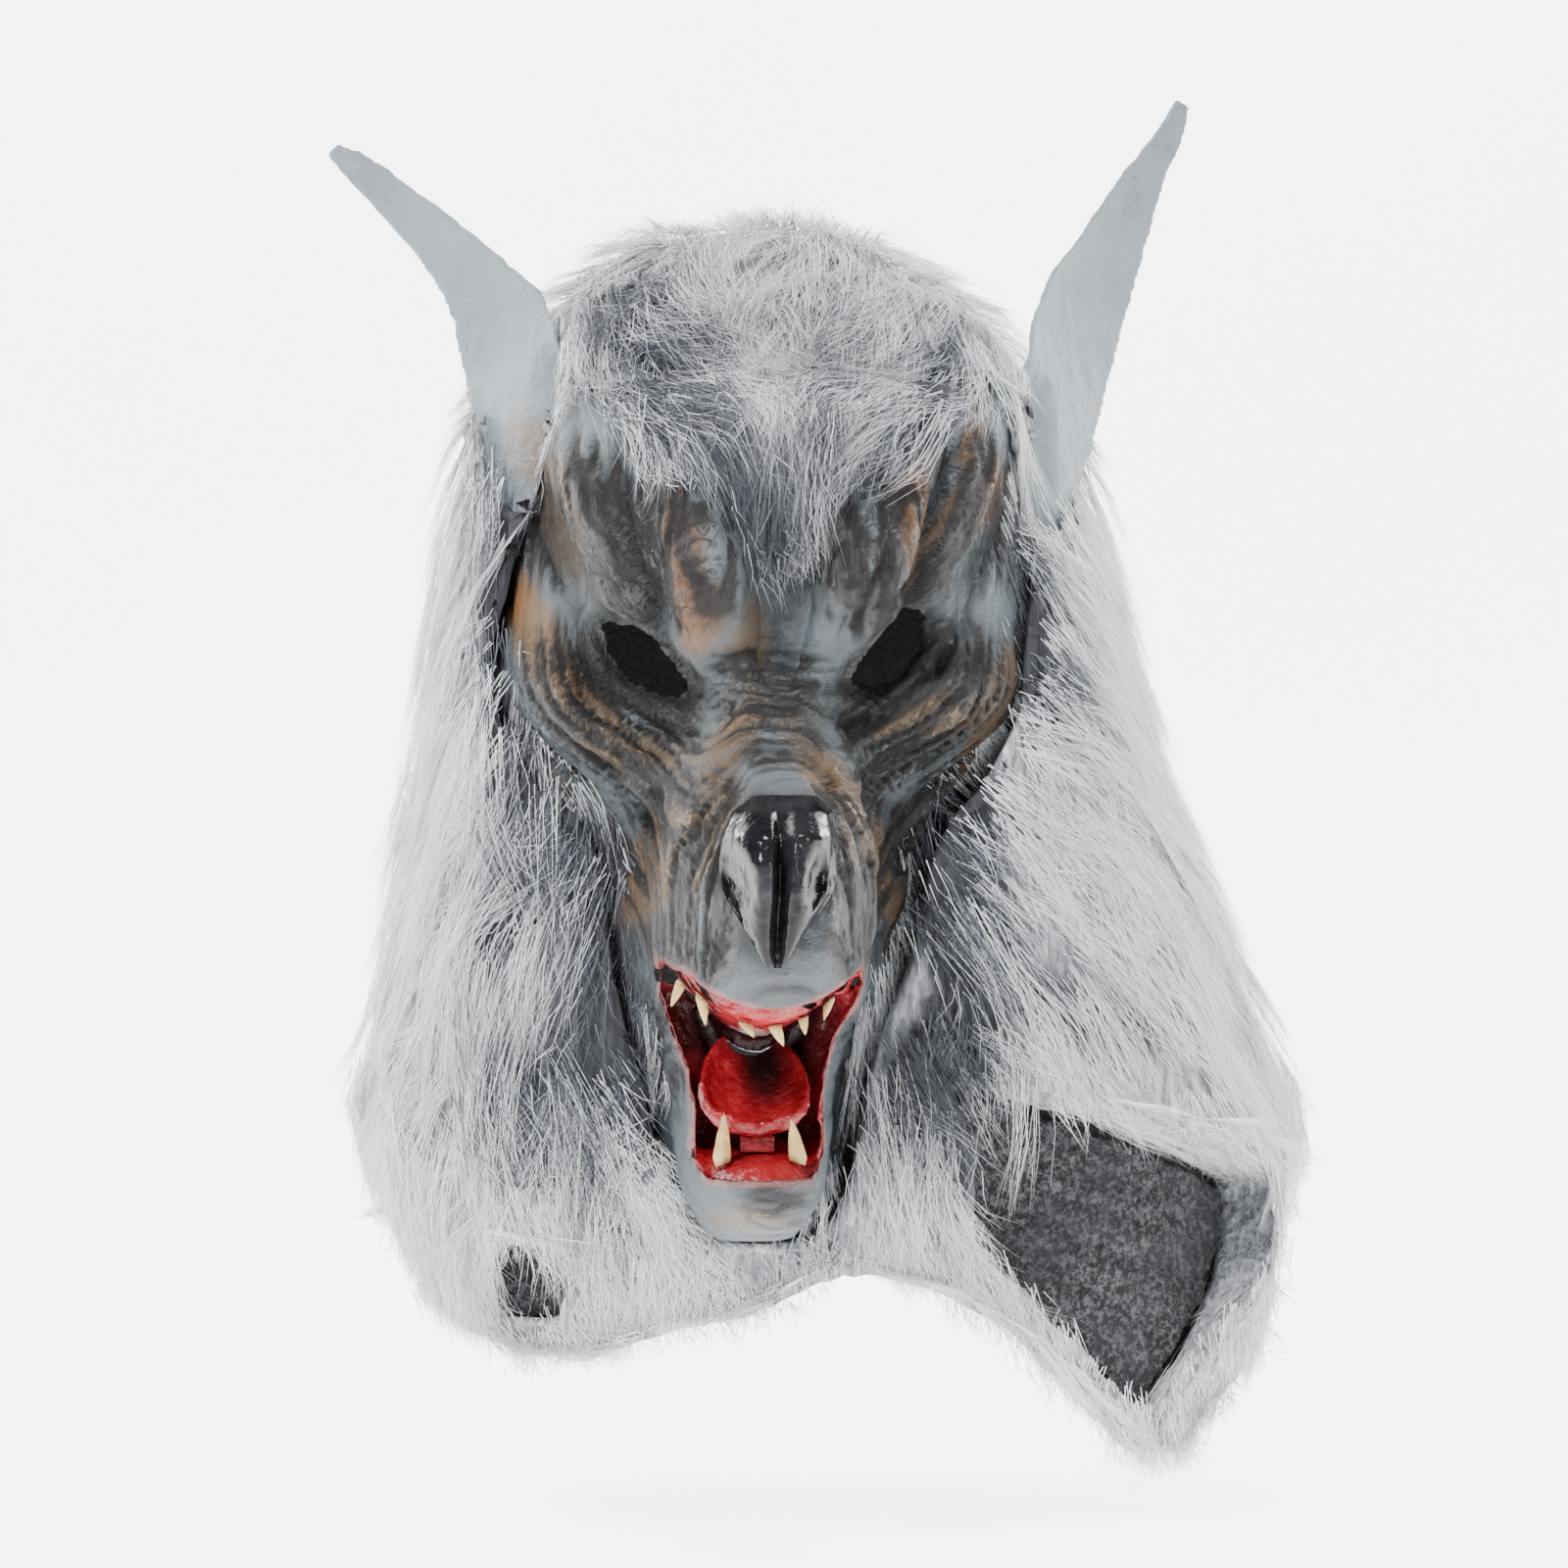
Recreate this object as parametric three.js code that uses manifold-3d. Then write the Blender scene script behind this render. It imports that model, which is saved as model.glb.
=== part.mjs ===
// Latex wolf mask: a moulded face and ears on a furry hood that covers head, neck and chest.
// Millimetres, +Z up, the face looks toward -Y, +X is on the viewer's right.
// The origin is where the crown of the wearer's head touches the inside of the hood.
import * as THREE from 'three';
import { mergeVertices } from 'three/addons/utils/BufferGeometryUtils.js';
import Module from 'manifold-3d';

const wasm = await Module();
wasm.setup();

// Main sizes of the hood: its drop from crown to hem, half its width at the hem,
// its reach to the nape, and how far its hem swings to one side
const hoodDrop = 305;
const hoodHalf = 123;
const hoodReach = 115;
const hoodSwing = 24;

// Main sizes of the face: its top edge below the crown, its height, half its width,
// how far it stands off the hood, and the snout that rises from it
const faceTop = 21;
const faceHeight = 252;
const faceHalf = 78;
const faceStand = 15;
const snoutHalf = 33;
const snoutReach = 85;
const foldHeight = 13;
const eyeWidth = 26;

// Main sizes of the mouth, nose, ears, fur and teeth
const mouthHalf = 31;
const noseHalf = 16.5;
const noseOut = 13.5;
const earSpan = 130;
const earRise = 68;
const tongueHalf = 0.45 * mouthHalf;
const tongueLength = 34;
const tongueRim = 9;
const pileDeep = 26;

// Sizes of the walls and fits
const latexWall = 2.6;
const clothWall = 2.5;
const fitGap = 0.35;
const windowFlange = 7;
const windowGap = 0.9;
const windowBack = 20;
const weldStep = 1e-4;

// Hood: a row per section from the crown down, as shares of the hood's sizes.
// Front and back are the reach from the middle toward the face and the nape.
const hoodShares = [
  { z: 0.008, middle: 0.167, half: 0, front: 0, back: 0 },
  { z: 0.002, middle: 0.167, half: 0.211, front: 0.226, back: 0.261 },
  { z: -0.023, middle: 0.208, half: 0.407, front: 0.435, back: 0.504 },
  { z: -0.066, middle: 0.292, half: 0.569, front: 0.591, back: 0.696 },
  { z: -0.125, middle: 0.333, half: 0.675, front: 0.696, back: 0.8 },
  { z: -0.203, middle: 0.333, half: 0.724, front: 0.748, back: 0.861 },
  { z: -0.295, middle: 0.333, half: 0.748, front: 0.757, back: 0.896 },
  { z: -0.393, middle: 0.417, half: 0.772, front: 0.73, back: 0.904 },
  { z: -0.492, middle: 0.542, half: 0.805, front: 0.696, back: 0.904 },
  { z: -0.59, middle: 0.667, half: 0.846, front: 0.67, back: 0.913 },
  { z: -0.689, middle: 0.792, half: 0.894, front: 0.661, back: 0.93 },
  { z: -0.787, middle: 0.896, half: 0.935, front: 0.687, back: 0.957 },
  { z: -0.885, middle: 1, half: 0.976, front: 0.722, back: 0.983 },
  { z: -1, middle: 1, half: 1, front: 0.757, back: 1 },
];
const hoodSquareness = 2.3;
const hoodSides = 20;
const hemStart = -0.525;

// Lower edge of the cloth, a row per turn in degrees from the front toward +X,
// as a share of the hood's drop.
const hemShares = [
  { turn: -180, z: -0.957 },
  { turn: -120, z: -0.931 },
  { turn: -85, z: -0.872 },
  { turn: -50, z: -0.984 },
  { turn: -22, z: -0.977 },
  { turn: 3, z: -0.918 },
  { turn: 20, z: -0.97 },
  { turn: 38, z: -1.085 },
  { turn: 60, z: -1.056 },
  { turn: 85, z: -0.951 },
  { turn: 120, z: -0.931 },
  { turn: 180, z: -0.957 },
];

// Face: a row per section from the brow down, as shares of the face's sizes. Left and
// right are the rim, and lift is how far the middle stands off the hood. Out is how far
// the snout or jaw rises over that.
const faceShares = [
  { down: 0, left: -0.679, right: 0.974, lift: 0.489, snoutX: 0.051, snoutHalf: 0.424, out: 0 },
  { down: 0.04, left: -0.731, right: 0.994, lift: 0.978, snoutX: 0.051, snoutHalf: 0.424, out: 0 },
  { down: 0.095, left: -0.788, right: 1.013, lift: 1.083, snoutX: 0.051, snoutHalf: 0.424, out: 0 },
  { down: 0.171, left: -0.859, right: 1.026, lift: 0.995, snoutX: 0.051, snoutHalf: 0.424, out: 0 },
  { down: 0.254, left: -0.917, right: 1.026, lift: 0.812, snoutX: 0.038, snoutHalf: 0.424, out: 0.012 },
  { down: 0.329, left: -0.987, right: 1, lift: 0.693, snoutX: 0.026, snoutHalf: 0.485, out: 0.082 },
  { down: 0.393, left: -0.962, right: 0.987, lift: 0.667, snoutX: 0.013, snoutHalf: 0.606, out: 0.282 },
  { down: 0.444, left: -0.891, right: 0.897, lift: 0.716, snoutX: 0, snoutHalf: 0.788, out: 0.565 },
  { down: 0.484, left: -0.795, right: 0.821, lift: 0.804, snoutX: 0, snoutHalf: 0.879, out: 0.788 },
  { down: 0.516, left: -0.654, right: 0.718, lift: 0.873, snoutX: 0, snoutHalf: 0.939, out: 0.918 },
  { down: 0.571, left: -0.577, right: 0.628, lift: 0.967, snoutX: 0, snoutHalf: 0.985, out: 0.988 },
  { down: 0.635, left: -0.551, right: 0.59, lift: 1.069, snoutX: 0, snoutHalf: 1, out: 1 },
  { down: 0.69, left: -0.538, right: 0.551, lift: 1.033, snoutX: -0.006, snoutHalf: 0.97, out: 0.976 },
  { down: 0.726, left: -0.513, right: 0.5, lift: 0.987, snoutX: -0.013, snoutHalf: 0.939, out: 0.871 },
  { down: 0.758, left: -0.487, right: 0.449, lift: 0.92, snoutX: -0.026, snoutHalf: 0.848, out: 0.588 },
  { down: 0.813, left: -0.436, right: 0.397, lift: 0.76, snoutX: -0.038, snoutHalf: 0.758, out: 0.588 },
  { down: 0.869, left: -0.41, right: 0.359, lift: 0.6, snoutX: -0.038, snoutHalf: 0.712, out: 0.671 },
  { down: 0.917, left: -0.397, right: 0.333, lift: 0.427, snoutX: -0.038, snoutHalf: 0.682, out: 0.765 },
  { down: 0.952, left: -0.372, right: 0.308, lift: 0.28, snoutX: -0.038, snoutHalf: 0.606, out: 0.753 },
  { down: 0.98, left: -0.346, right: 0.269, lift: 0.151, snoutX: -0.038, snoutHalf: 0.485, out: 0.647 },
  { down: 0.994, left: -0.321, right: 0.244, lift: 0.055, snoutX: -0.038, snoutHalf: 0.394, out: 0.447 },
  { down: 1, left: -0.308, right: 0.231, lift: -0.023, snoutX: -0.038, snoutHalf: 0.333, out: 0.2 },
];
const rowSteps = 2;
const faceColumns = 18;
const rimPower = 2.6;
const snoutPower = 2.7;
const snoutBlend = 7;
const snoutFall = 1.6;

// Main swellings and hollows of the face, each with its reach along and across its
// own line, the turn of that line from vertical, and its share of the fold height.
const formShares = [
  { name: 'brow left', x: -0.256, down: 0.234, along: 0.333, across: 0.115, turn: 20, height: 1 },
  { name: 'brow right', x: 0.372, down: 0.226, along: 0.333, across: 0.128, turn: -20, height: 1 },
  { name: 'temple fold left', x: -0.564, down: 0.163, along: 0.308, across: 0.115, turn: 26, height: 0.462 },
  { name: 'temple fold right', x: 0.705, down: 0.155, along: 0.308, across: 0.115, turn: -24, height: 0.462 },
  { name: 'brow groove', x: 0.064, down: 0.266, along: 0.333, across: 0.077, turn: 0, height: -0.385 },
  { name: 'eye hollow left', x: -0.474, down: 0.31, along: 0.179, across: 0.128, turn: 50, height: -0.615 },
  { name: 'eye hollow right', x: 0.564, down: 0.306, along: 0.179, across: 0.128, turn: -50, height: -0.615 },
  { name: 'cheek left', x: -0.692, down: 0.401, along: 0.282, across: 0.154, turn: 62, height: 0.538 },
  { name: 'cheek right', x: 0.744, down: 0.393, along: 0.282, across: 0.154, turn: -62, height: 0.538 },
  { name: 'lip pad', x: 0, down: 0.679, along: 0.115, across: 0.282, turn: 0, height: 0.308 },
];

// Eye hole outline about its middle, for the eye at -X, as shares of its width.
const eyeShares = [
  { across: -0.481, up: 0.423 },
  { across: -0.115, up: 0.385 },
  { across: 0.115, up: 0.115 },
  { across: 0.308, up: -0.154 },
  { across: 0.519, up: -0.462 },
  { across: 0.154, up: -0.442 },
  { across: -0.173, up: -0.288 },
  { across: -0.404, up: 0.038 },
];
const eyes = [
  { x: -0.423, down: 0.329, width: 1, side: 1 },
  { x: 0.474, down: 0.319, width: 0.92, side: -1 },
];

// Mouth opening, a row per height: its two edges as shares of half its width.
const mouthShares = [
  { down: 0.679, left: -1, right: 0.839 },
  { down: 0.71, left: -0.968, right: 0.79 },
  { down: 0.75, left: -0.871, right: 0.645 },
  { down: 0.798, left: -0.71, right: 0.516 },
  { down: 0.853, left: -0.645, right: 0.468 },
  { down: 0.897, left: -0.677, right: 0.484 },
  { down: 0.917, left: -0.581, right: 0.387 },
];
// Upper lip: its middle, level and rise toward the corners, in shares as above
const lipMiddle = -0.032;
const lipDown = 0.728;
const lipRise = 0.06;
const lipHalf = 0.935;

// Mouth lining: how far back it reaches and how much it narrows
const liningStand = 26.4;
const liningInset = 1.5;
const liningRecess = 1.2;
const liningWall = 1.8;
const liningLeast = 18;
const liningNarrow = 0.66;
const breathHole = 0.3;

// Nose: a row per level, its middle, half width and rise, as shares of its sizes.
const noseShares = [
  { down: 0.49, middle: 0.152, half: 0.545, out: 0.37 },
  { down: 0.516, middle: 0.091, half: 0.939, out: 0.815 },
  { down: 0.556, middle: 0.018, half: 1, out: 1 },
  { down: 0.595, middle: 0, half: 0.939, out: 0.926 },
  { down: 0.627, middle: -0.036, half: 0.636, out: 0.667 },
  { down: 0.655, middle: -0.073, half: 0.364, out: 0.407 },
  { down: 0.679, middle: -0.097, half: 0.158, out: 0.163 },
];
const noseGroove = 5;
const nostrilShares = [
  { name: 'left', x: -0.758, down: 0.591, wide: 0.194, tall: 0.485, deep: 0.519 },
  { name: 'right', x: 0.515, down: 0.573, wide: 0.267, tall: 0.303, deep: 0.519 },
];

// Ears: a row per section from the tip to the root, with both edges, as shares of
// the ears' span, the hood's reach and the ears' rise.
const earShares = {
  left: [
    { inX: -0.942, inY: 0.017, inZ: 0.772, outX: -0.969, outY: 0.026, outZ: 0.721 },
    { inX: -0.869, inY: -0.026, inZ: 0.713, outX: -0.942, outY: 0, outZ: 0.654 },
    { inX: -0.769, inY: -0.07, inZ: 0.559, outX: -0.827, outY: -0.017, outZ: 0.412 },
    { inX: -0.669, inY: -0.113, inZ: 0.412, outX: -0.765, outY: -0.026, outZ: 0.279 },
    { inX: -0.535, inY: -0.209, inZ: 0.184, outX: -0.7, outY: -0.043, outZ: 0.096 },
    { inX: -0.458, inY: -0.33, inZ: 0.015, outX: -0.665, outY: -0.078, outZ: -0.118 },
    { inX: -0.442, inY: -0.461, inZ: -0.309, outX: -0.631, outY: -0.157, outZ: -0.485 },
    { inX: -0.481, inY: -0.513, inZ: -0.559, outX: -0.596, outY: -0.278, outZ: -0.794 },
    { inX: -0.519, inY: -0.496, inZ: -0.824, outX: -0.558, outY: -0.4, outZ: -0.956 },
  ],
  right: [
    { inX: 1.023, inY: 0.017, inZ: 1, outX: 1.054, outY: 0.026, outZ: 0.956 },
    { inX: 0.981, inY: -0.026, inZ: 0.875, outX: 1.038, outY: 0, outZ: 0.824 },
    { inX: 0.923, inY: -0.07, inZ: 0.728, outX: 1.004, outY: -0.017, outZ: 0.691 },
    { inX: 0.873, inY: -0.113, inZ: 0.618, outX: 0.973, outY: -0.026, outZ: 0.5 },
    { inX: 0.781, inY: -0.209, inZ: 0.368, outX: 0.927, outY: -0.043, outZ: 0.206 },
    { inX: 0.662, inY: -0.348, inZ: 0.059, outX: 0.881, outY: -0.078, outZ: -0.074 },
    { inX: 0.627, inY: -0.47, inZ: -0.353, outX: 0.831, outY: -0.157, outZ: -0.382 },
    { inX: 0.635, inY: -0.504, inZ: -0.662, outX: 0.777, outY: -0.278, outZ: -0.706 },
    { inX: 0.646, inY: -0.496, inZ: -0.971, outX: 0.7, outY: -0.4, outZ: -1.015 },
  ],
};
const earWall = 3.4;
const earCup = 0.16;
const earCupFade = 1.5;
const earClear = 70;
const earColumns = 5;

// Tongue: a row per section from the root to the tip, as shares of its sizes
const tongueShares = [
  { out: 0.147, down: 0.786, half: 0.45, rim: 0.7 },
  { out: 0.382, down: 0.817, half: 0.75, rim: 1 },
  { out: 0.676, down: 0.845, half: 0.9, rim: 0.944 },
  { out: 0.882, down: 0.859, half: 0.786, rim: 0.556 },
  { out: 1, down: 0.857, half: 0.429, rim: 0.278 },
];
const tongueMiddle = -0.113;
const tongueWall = 3.4;
const strapWidth = 10;
const strapDepth = 7;
const strapHeight = 15;

// Teeth: the place of each across the mouth as a share of its half width, how far
// back it stands as a share of the lining's depth, its size, and its lean in degrees.
const teeth = [
  { name: 'upper_tooth_1', x: -0.79, deep: 0.28, length: 9.5, thick: 3.8, lean: 24, upper: true },
  { name: 'upper_tooth_2', x: -0.645, deep: 0.28, length: 10.5, thick: 4.2, lean: -8, upper: true },
  { name: 'upper_tooth_3', x: -0.29, deep: 0.2, length: 7.5, thick: 4, lean: -30, upper: true },
  { name: 'upper_tooth_4', x: -0.016, deep: 0.18, length: 8.5, thick: 4.4, lean: -24, upper: true },
  { name: 'upper_tooth_5', x: 0.258, deep: 0.2, length: 7, thick: 3.6, lean: -8, upper: true },
  { name: 'upper_tooth_6', x: 0.532, deep: 0.28, length: 8.5, thick: 3.6, lean: 14, upper: true },
  { name: 'lower_fang_left', x: -0.45, deep: 0.14, length: 16, thick: 6, lean: 3, upper: false },
  { name: 'lower_fang_right', x: 0.258, deep: 0.15, length: 14.5, thick: 6, lean: -9, upper: false },
];
const toothSink = 1.1;

// Fur: depth of the pile by height, as shares of the hood's drop and of the deepest
// pile, with what the combed-out right side adds, and the locks that its outer form
// breaks into.
const pileShares = [
  { z: 0.01, deep: 1.2, right: 0 },
  { z: -0.066, deep: 0.731, right: 0 },
  { z: -0.131, deep: 0.577, right: 0 },
  { z: -0.295, deep: 0.635, right: 0.02 },
  { z: -0.492, deep: 0.84, right: 0.15 },
  { z: -0.754, deep: 1.08, right: 0.24 },
  { z: -0.984, deep: 1.02, right: 0.24 },
  { z: -1.115, deep: 0.62, right: 0.15 },
];
const lockRelief = 0.34;
const lockPitch = 13;
const lockTip = 7;
const furSeam = 0.5;
const furRoot = 4;
const furSections = [
  { name: 'fur_crown', from: -174, to: 186, top: 0, bottom: 4, columns: 20, rows: 3 },
  { name: 'fur_left', from: -118, to: 0, top: 4, bottom: 13, columns: 11, rows: 7 },
  { name: 'fur_right', from: 0, to: 118, top: 4, bottom: 13, columns: 12, rows: 7 },
  { name: 'fur_back', from: 118, to: 242, top: 4, bottom: 13, columns: 7, rows: 7 },
];

// Bare knit showing at the hem, by corner: turn from the front, and share of the drop
const patchShares = [
  {
    name: 'hem_patch_right',
    corners: [
      { turn: 16, z: -0.761 },
      { turn: 80, z: -0.872 },
      { turn: 42, z: -1.066 },
      { turn: 15, z: -0.908 },
    ],
  },
  {
    name: 'hem_patch_left',
    corners: [
      { turn: -50, z: -0.908 },
      { turn: -34, z: -0.915 },
      { turn: -36, z: -0.974 },
      { turn: -51, z: -0.974 },
    ],
  },
];
const patchWall = 2.4;
const patchSteps = 4;
const patchMargin = 0.4;

// Forelock that falls between the brows, a row per place across it: its lower end
const forelockTop = 0.012;
const forelockZigzag = 3;
const forelockWall = 8;
const forelockGap = 1.9;
const forelockShares = [
  { x: -0.551, down: 0.063 },
  { x: -0.436, down: 0.115 },
  { x: -0.308, down: 0.143 },
  { x: -0.154, down: 0.155 },
  { x: 0, down: 0.218 },
  { x: 0.09, down: 0.25 },
  { x: 0.192, down: 0.179 },
  { x: 0.346, down: 0.131 },
  { x: 0.538, down: 0.107 },
  { x: 0.769, down: 0.063 },
];

// Turn the shares of a table into lengths, by the size that each column follows
function lengths(rows, sizes) {
  return rows.map((row) => {
    const made = { ...row };
    for (const [column, size] of Object.entries(sizes)) {
      made[column] = row[column] * size;
    }
    return made;
  });
}

// Height of a place given as a share of the face's height
function level(down) {
  return -(faceTop + down * faceHeight);
}

// The same for a table with a column of such places
function levelled(rows, sizes) {
  return lengths(rows, sizes).map((row) => ({ ...row, z: level(row.down) }));
}

const hoodRows = lengths(hoodShares, {
  z: hoodDrop,
  middle: hoodSwing,
  half: hoodHalf,
  front: hoodReach,
  back: hoodReach,
});
const hemRows = lengths(hemShares, { z: hoodDrop });
const hemLevel = hoodRows[hoodRows.length - 1].z;
const pileRows = lengths(pileShares, { z: hoodDrop, deep: pileDeep, right: pileDeep });
const patches = patchShares.map((patch) => ({
  name: patch.name,
  corners: lengths(patch.corners, { z: hoodDrop }),
}));
const faceRows = levelled(faceShares, {
  left: faceHalf,
  right: faceHalf,
  lift: faceStand,
  snoutX: faceHalf,
  snoutHalf,
  out: snoutReach,
}).map((row) => {
  const mid = -(along(hoodRows, 'z', 'front', row.z) + row.lift);
  return { ...row, mid, snoutY: mid - row.out };
});
const faceForms = levelled(formShares, {
  x: faceHalf,
  along: faceHalf,
  across: faceHalf,
  height: foldHeight,
});
const eyeOutline = lengths(eyeShares, { across: eyeWidth, up: eyeWidth });
const mouthRows = levelled(mouthShares, { left: mouthHalf, right: mouthHalf });
const noseRows = levelled(noseShares, { middle: noseHalf, half: noseHalf, out: noseOut });
const nostrils = levelled(nostrilShares, {
  x: noseHalf,
  wide: noseHalf,
  tall: noseHalf,
  deep: noseOut,
});
const earColumnsOf = { inX: earSpan, outX: earSpan, inY: hoodReach, outY: hoodReach };
const earSizes = { ...earColumnsOf, inZ: earRise, outZ: earRise };
const earRows = {
  left: lengths(earShares.left, earSizes),
  right: lengths(earShares.right, earSizes),
};
const forelockRows = levelled(forelockShares, { x: faceHalf });
const cutReach = 2 * (hoodReach + snoutReach);
const liningMiddle = level(0.806);
const liningBack = -(along(hoodRows, 'z', 'front', liningMiddle) + liningStand);
const tongueX = tongueMiddle * mouthHalf;
const tongueRows = levelled(tongueShares, {
  out: tongueLength,
  half: tongueHalf,
  rim: tongueRim,
}).map((row) => ({ ...row, y: liningBack - row.out }));

const finishes = {
  latex: { color: 0xaab4ba, roughness: 0.62, metalness: 0 },
  nose: { color: 0x17181b, roughness: 0.18, metalness: 0 },
  red: { color: 0xb01217, roughness: 0.3, metalness: 0 },
  tooth: { color: 0xe6cf95, roughness: 0.35, metalness: 0 },
  fur: { color: 0xc9ccd3, roughness: 0.95, metalness: 0 },
  knit: { color: 0x3f4146, roughness: 0.97, metalness: 0 },
};

// Smooth value of one column of a table, by another column that rises or falls
function along(rows, key, column, value) {
  const rising = rows[rows.length - 1][key] > rows[0][key];
  const last = rows.length - 2;
  let i = 0;
  while (i < last && (rising ? value > rows[i + 1][key] : value < rows[i + 1][key])) {
    i += 1;
  }
  const span = rows[i + 1][key] - rows[i][key];
  const t = Math.min(1, Math.max(0, (value - rows[i][key]) / span));
  return between(rows, i, t, key, column);
}

// Cubic through the rows next to row i, with the slope of its neighbours
function between(rows, i, t, key, column) {
  const a = rows[i];
  const b = rows[i + 1];
  const before = rows[Math.max(0, i - 1)];
  const after = rows[Math.min(rows.length - 1, i + 2)];
  const span = b[key] - a[key];
  const slopeA = ((b[column] - before[column]) / (b[key] - before[key])) * span;
  const slopeB = ((after[column] - a[column]) / (after[key] - a[key])) * span;
  const t2 = t * t;
  const t3 = t2 * t;
  return (2 * t3 - 3 * t2 + 1) * a[column] + (t3 - 2 * t2 + t) * slopeA
    + (3 * t2 - 2 * t3) * b[column] + (t3 - t2) * slopeB;
}

// Smooth value of a column at a row number that may lie between two rows
function atRow(rows, column, number) {
  const numbered = rows.map((row, n) => ({ ...row, n }));
  return along(numbered, 'n', column, number);
}

function radians(degrees) {
  return (degrees * Math.PI) / 180;
}

function mix(a, b, t) {
  return a + (b - a) * t;
}

// Point of the hood's outer surface at a turn and a row number
function hoodPoint(turn, row) {
  const angle = radians(turn);
  const side = Math.sin(angle);
  const fore = Math.cos(angle);
  const power = 2 / hoodSquareness;
  const half = atRow(hoodRows, 'half', row);
  const reach = fore > 0 ? atRow(hoodRows, 'front', row) : atRow(hoodRows, 'back', row);
  const wrapped = turn > 180 ? turn - 360 : turn;
  let z = atRow(hoodRows, 'z', row);
  const start = hemStart * hoodDrop;
  const share = Math.max(0, (start - z) / (start - hemLevel));
  z += share * share * (along(hemRows, 'turn', 'z', wrapped) - hemLevel);
  return new THREE.Vector3(
    atRow(hoodRows, 'middle', row) + Math.sign(side) * half * Math.abs(side) ** power,
    -Math.sign(fore) * reach * Math.abs(fore) ** power,
    z,
  );
}

// Row number of the hood at a height
function hoodRowAt(turn, z) {
  let low = 0;
  let high = hoodRows.length - 1;
  for (let n = 0; n < 30; n += 1) {
    const middle = (low + high) / 2;
    if (hoodPoint(turn, middle).z > z) {
      low = middle;
    } else {
      high = middle;
    }
  }
  return low;
}

// Point raised from a surface along its normal
function raised(surface, u, v, stepU, stepV, out) {
  const point = surface(u, v);
  const du = surface(u + stepU, v).sub(surface(u - stepU, v));
  const dv = surface(u, v + stepV).sub(surface(u, v - stepV));
  const normal = du.cross(dv);
  if (normal.length() < 1e-9) {
    return point.add(new THREE.Vector3(0, 0, out));
  }
  return point.add(normal.normalize().multiplyScalar(out));
}

function hoodRaised(turn, row, out) {
  if (row < 0.02) {
    return hoodPoint(turn, 0).add(new THREE.Vector3(0, 0, out));
  }
  return raised(hoodPoint, turn, row, 1, -0.02, out);
}

// Depth of the hood's front at a place, found on its own section
function hoodFront(x, z) {
  const middle = along(hoodRows, 'z', 'middle', z);
  const half = along(hoodRows, 'z', 'half', z);
  const front = along(hoodRows, 'z', 'front', z);
  const share = Math.min(1, Math.abs(x - middle) / half);
  return -front * (1 - share ** hoodSquareness) ** (1 / hoodSquareness);
}

// Rise of the listed swellings at a place on the face
function formRise(x, z) {
  let rise = 0;
  for (const form of faceForms) {
    const turn = radians(form.turn);
    const dx = x - form.x;
    const dz = z - form.z;
    const across = dx * Math.cos(turn) + dz * Math.sin(turn);
    const up = -dx * Math.sin(turn) + dz * Math.cos(turn);
    rise += form.height * Math.exp(-((across / form.across) ** 2) - (up / form.along) ** 2);
  }
  return rise;
}

// Depth of the face's outer surface at a row number and a place across
function faceDepth(row, x) {
  const at = (column) => atRow(faceRows, column, row);
  const z = at('z');
  const left = at('left');
  const right = at('right');
  const centre = (left + right) / 2;
  const half = (right - left) / 2;
  const share = Math.min(1, Math.abs(x - centre) / half);
  const rim = hoodFront(x < centre ? left : right, z) + 4;
  const fade = (1 - share ** rimPower) ** 0.5;
  const base = -mix(rim, at('mid'), fade);
  const snoutShare = Math.abs(x - at('snoutX')) / at('snoutHalf');
  const inner = Math.max(0, 1 - snoutShare ** snoutPower) ** 0.5;
  const beyond = Math.max(0, Math.abs(x - at('snoutX')) - at('snoutHalf'));
  const snout = mix(-at('mid'), -at('snoutY'), inner) - snoutFall * beyond;
  const high = Math.max(base, snout);
  const near = Math.max(0, 1 - Math.abs(base - snout) / (4 * snoutBlend));
  return -(high + snoutBlend * near * near * fade + formRise(x, z) * fade);
}

// Places across one section, at equal steps of its length
function facePlaces(row, count) {
  const left = atRow(faceRows, 'left', row);
  const right = atRow(faceRows, 'right', row);
  const fine = 400;
  const xs = [left];
  const lengths = [0];
  let before = faceDepth(row, left);
  for (let n = 1; n <= fine; n += 1) {
    const x = mix(left, right, 0.5 - 0.5 * Math.cos((n / fine) * Math.PI));
    const y = faceDepth(row, x);
    lengths.push(lengths[n - 1] + Math.hypot(x - xs[n - 1], y - before));
    xs.push(x);
    before = y;
  }
  const places = [];
  let n = 0;
  for (let k = 0; k <= count; k += 1) {
    const target = (lengths[fine] * k) / count;
    while (n < fine - 1 && lengths[n + 1] < target) {
      n += 1;
    }
    const t = (target - lengths[n]) / (lengths[n + 1] - lengths[n]);
    places.push(mix(xs[n], xs[n + 1], t));
  }
  return places;
}

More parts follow.
